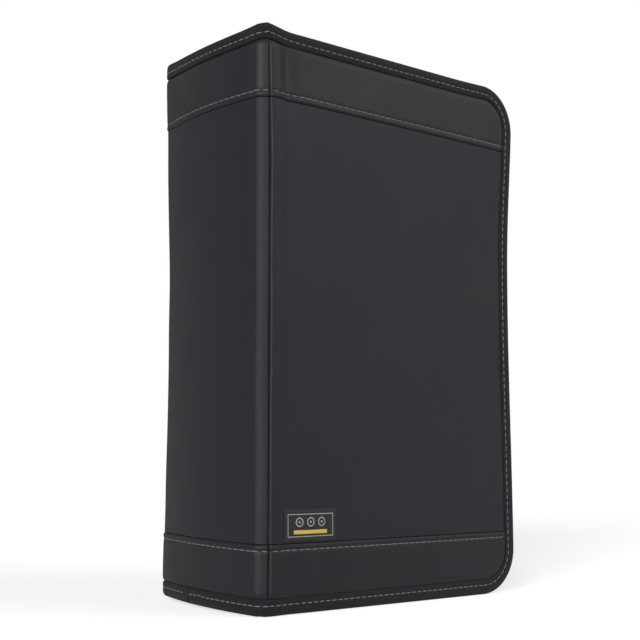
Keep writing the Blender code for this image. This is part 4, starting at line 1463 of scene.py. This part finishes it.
class CASE_OT_sleeves(bpy.types.Operator):
    """Make the leaves of disc sleeves and the strip they are sewn to"""
    bl_idname = "disc_case.sleeves"
    bl_label = "Sleeves"

    def execute(self, context):
        low, high = PAGE_BOX
        pitch = (high.y - low.y) / LEAVES
        tall = (high.z - low.z) / 2
        bases = (low.z + 2 * MM, (low.z + high.z) / 2 + MM)
        leaf_shape = leaf_outline(low.x, high.x - LEAF_TRIM, low.z + LEAF_TRIM, high.z - LEAF_TRIM, 9 * MM)
        film_shapes = [leaf_outline(low.x + 15 * MM, high.x - 3 * MM, base, base + tall - 4.5 * MM, 7 * MM,
                                    notch=9 * MM) for base in bases]
        for rank in range(LEAVES):
            name, level = f"leaf_{rank + 1:02d}", low.y + pitch * (rank + 0.5)
            leaf = flat_leaf(f"{name}_felt", leaf_shape, level, 0.9 * MM, rank, "felt")
            dressed(leaf, "spine", "sleeve_film")
            for face, side in SIDES:
                films = [flat_leaf(f"film_{row}", shape, level + side * 0.95 * MM, 0.25 * MM, rank, "film")
                         for row, shape in enumerate(film_shapes)]
                film = dressed(merged(f"{name}_{face}_film", films), "spine", "sleeve_film")
        self.make_anchor(pitch)
        return {"FINISHED"}

    def make_anchor(self, pitch):
        """The strip along the spine that holds the leaves, with a rib where each leaf is sewn in."""
        low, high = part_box("page_anchor")
        y, z = np.meshgrid(spaced(low.y, high.y, 0.6 * MM), spaced(low.z, high.z, 24 * MM), indexing="ij")
        rib = 0.35 * MM * np.cos(2 * PI * (y - PAGE_BOX[0].y) / pitch)
        outer, inner = at(high.x - 0.5 * MM - rib, y, z), at(low.x, y, z)
        anchor = shell("page_anchor_strip", outer, inner, (y, z), "lining")
        dressed(anchor, "spine", "lining", "page_anchor", "sleeve_pages")


# The camera that was fitted to the photo, the lamps and the white surround
CAMERA_PLACE = (-0.4369, -0.5071, 0.0807)
CAMERA_AZIMUTH, CAMERA_TILT, CAMERA_ROLL = -38.50, 2.92, 0.21
CAMERA_LENS = 66.77
CAMERA_SHIFT = (0.04, 0.11)
LAMPS = (("key", -58.0, 18.0, 2.35, 26.0), ("fill", 38.0, 32.0, 0.8, 40.0))
FLOOR_GLOW, FLOOR_MIRRORED = 0.65, 0.4
WORLD_LIGHT, WORLD_SEEN, WORLD_MIRRORED = 0.10, 1.0, 0.36
WHITE = (1.0, 1.0, 1.0, 1.0)


class CASE_OT_stage(bpy.types.Operator):
    """Set up the camera, the floor, the lamps and the white surround"""
    bl_idname = "disc_case.stage"
    bl_label = "Stage"

    def execute(self, context):
        scene = context.scene
        camera = bpy.data.objects.new("camera", bpy.data.cameras.new("camera"))
        scene.collection.objects.link(camera)
        turn = Matrix.Rotation(math.radians(CAMERA_AZIMUTH), 4, "Z")
        turn = turn @ Matrix.Rotation(math.radians(90 + CAMERA_TILT), 4, "X")
        turn = turn @ Matrix.Rotation(math.radians(CAMERA_ROLL), 4, "Z")
        camera.matrix_world = Matrix.Translation(CAMERA_PLACE) @ turn
        camera.data.shift_x, camera.data.shift_y = CAMERA_SHIFT
        camera.data.lens = CAMERA_LENS
        camera.data.sensor_width = 36.0
        camera.data.clip_start = 0.01
        scene.camera = camera
        corners = [(-6, -6, 0), (6, -6, 0), (6, 6, 0), (-6, 6, 0)]
        floor = mesh_object("studio_floor", corners, [(0, 1, 2, 3)], "floor")
        floor.location.z = -0.0002
        tree = finish_named("floor").node_tree
        glow = seen_rays(tree, FLOOR_MIRRORED) * FLOOR_GLOW
        feed(tree.nodes["Principled BSDF"].inputs["Emission Strength"], glow)
        for name, around, height, strength, spread in LAMPS:
            lamp = bpy.data.objects.new(name, bpy.data.lights.new(name, "SUN"))
            scene.collection.objects.link(lamp)
            lamp.data.energy = strength
            lamp.data.angle = math.radians(spread)
            lamp.rotation_euler = (math.radians(90 - height), 0.0, math.radians(around))
        world = bpy.data.worlds.new("studio")
        scene.world = world
        world.use_nodes = True
        tree = world.node_tree
        tree.nodes.clear()
        both = term(tree, "ShaderNodeMixShader", 0, Fac=seen_rays(tree, WORLD_MIRRORED))
        for place, strength in ((1, WORLD_LIGHT), (2, WORLD_SEEN)):
            light = term(tree, "ShaderNodeBackground", 0, Color=WHITE, Strength=strength)
            feed(both.socket.node.inputs[place], light)
        feed(tree.nodes.new("ShaderNodeOutputWorld").inputs["Surface"], both)
        scene.view_settings.view_transform = "Standard"
        return {"FINISHED"}


class CASE_PT_steps(bpy.types.Panel):
    """Lists the steps and the values of the case"""
    bl_idname = "CASE_PT_steps"
    bl_label = "Disc Case"
    bl_space_type = "VIEW_3D"
    bl_region_type = "UI"
    bl_category = "Disc Case"

    def draw(self, context):
        for step in STEPS:
            self.layout.operator(step.bl_idname)
        for group in (sizes(), colours()):
            box = self.layout.box()
            for name in group.bl_rna.properties.keys():
                if name not in ("rna_type", "name"):
                    box.prop(group, name)


STEPS = (
    CASE_OT_stage,
    CASE_OT_cover_layers,
    CASE_OT_cover_cloths,
    CASE_OT_spine_cloths,
    CASE_OT_bindings,
    CASE_OT_stitches,
    CASE_OT_label_patch,
    CASE_OT_zip,
    CASE_OT_slider,
    CASE_OT_gussets,
    CASE_OT_hinge_linings,
    CASE_OT_sleeves,
)
CLASSES = (CaseSizes, CaseColours, *STEPS, CASE_PT_steps)


def register():
    """Add the classes and the values to Blender."""
    for item in CLASSES:
        bpy.utils.register_class(item)
    bpy.types.Scene.disc_case_sizes = bpy.props.PointerProperty(type=CaseSizes)
    bpy.types.Scene.disc_case_colours = bpy.props.PointerProperty(type=CaseColours)


def unregister():
    """Take the classes and the values out of Blender."""
    del bpy.types.Scene.disc_case_colours
    del bpy.types.Scene.disc_case_sizes
    for item in reversed(CLASSES):
        bpy.utils.unregister_class(item)


def main():
    """Build the whole scene."""
    register()
    for step in STEPS:
        group, name = step.bl_idname.split(".")
        getattr(getattr(bpy.ops, group), name)()


if __name__ == "__main__":
    main()
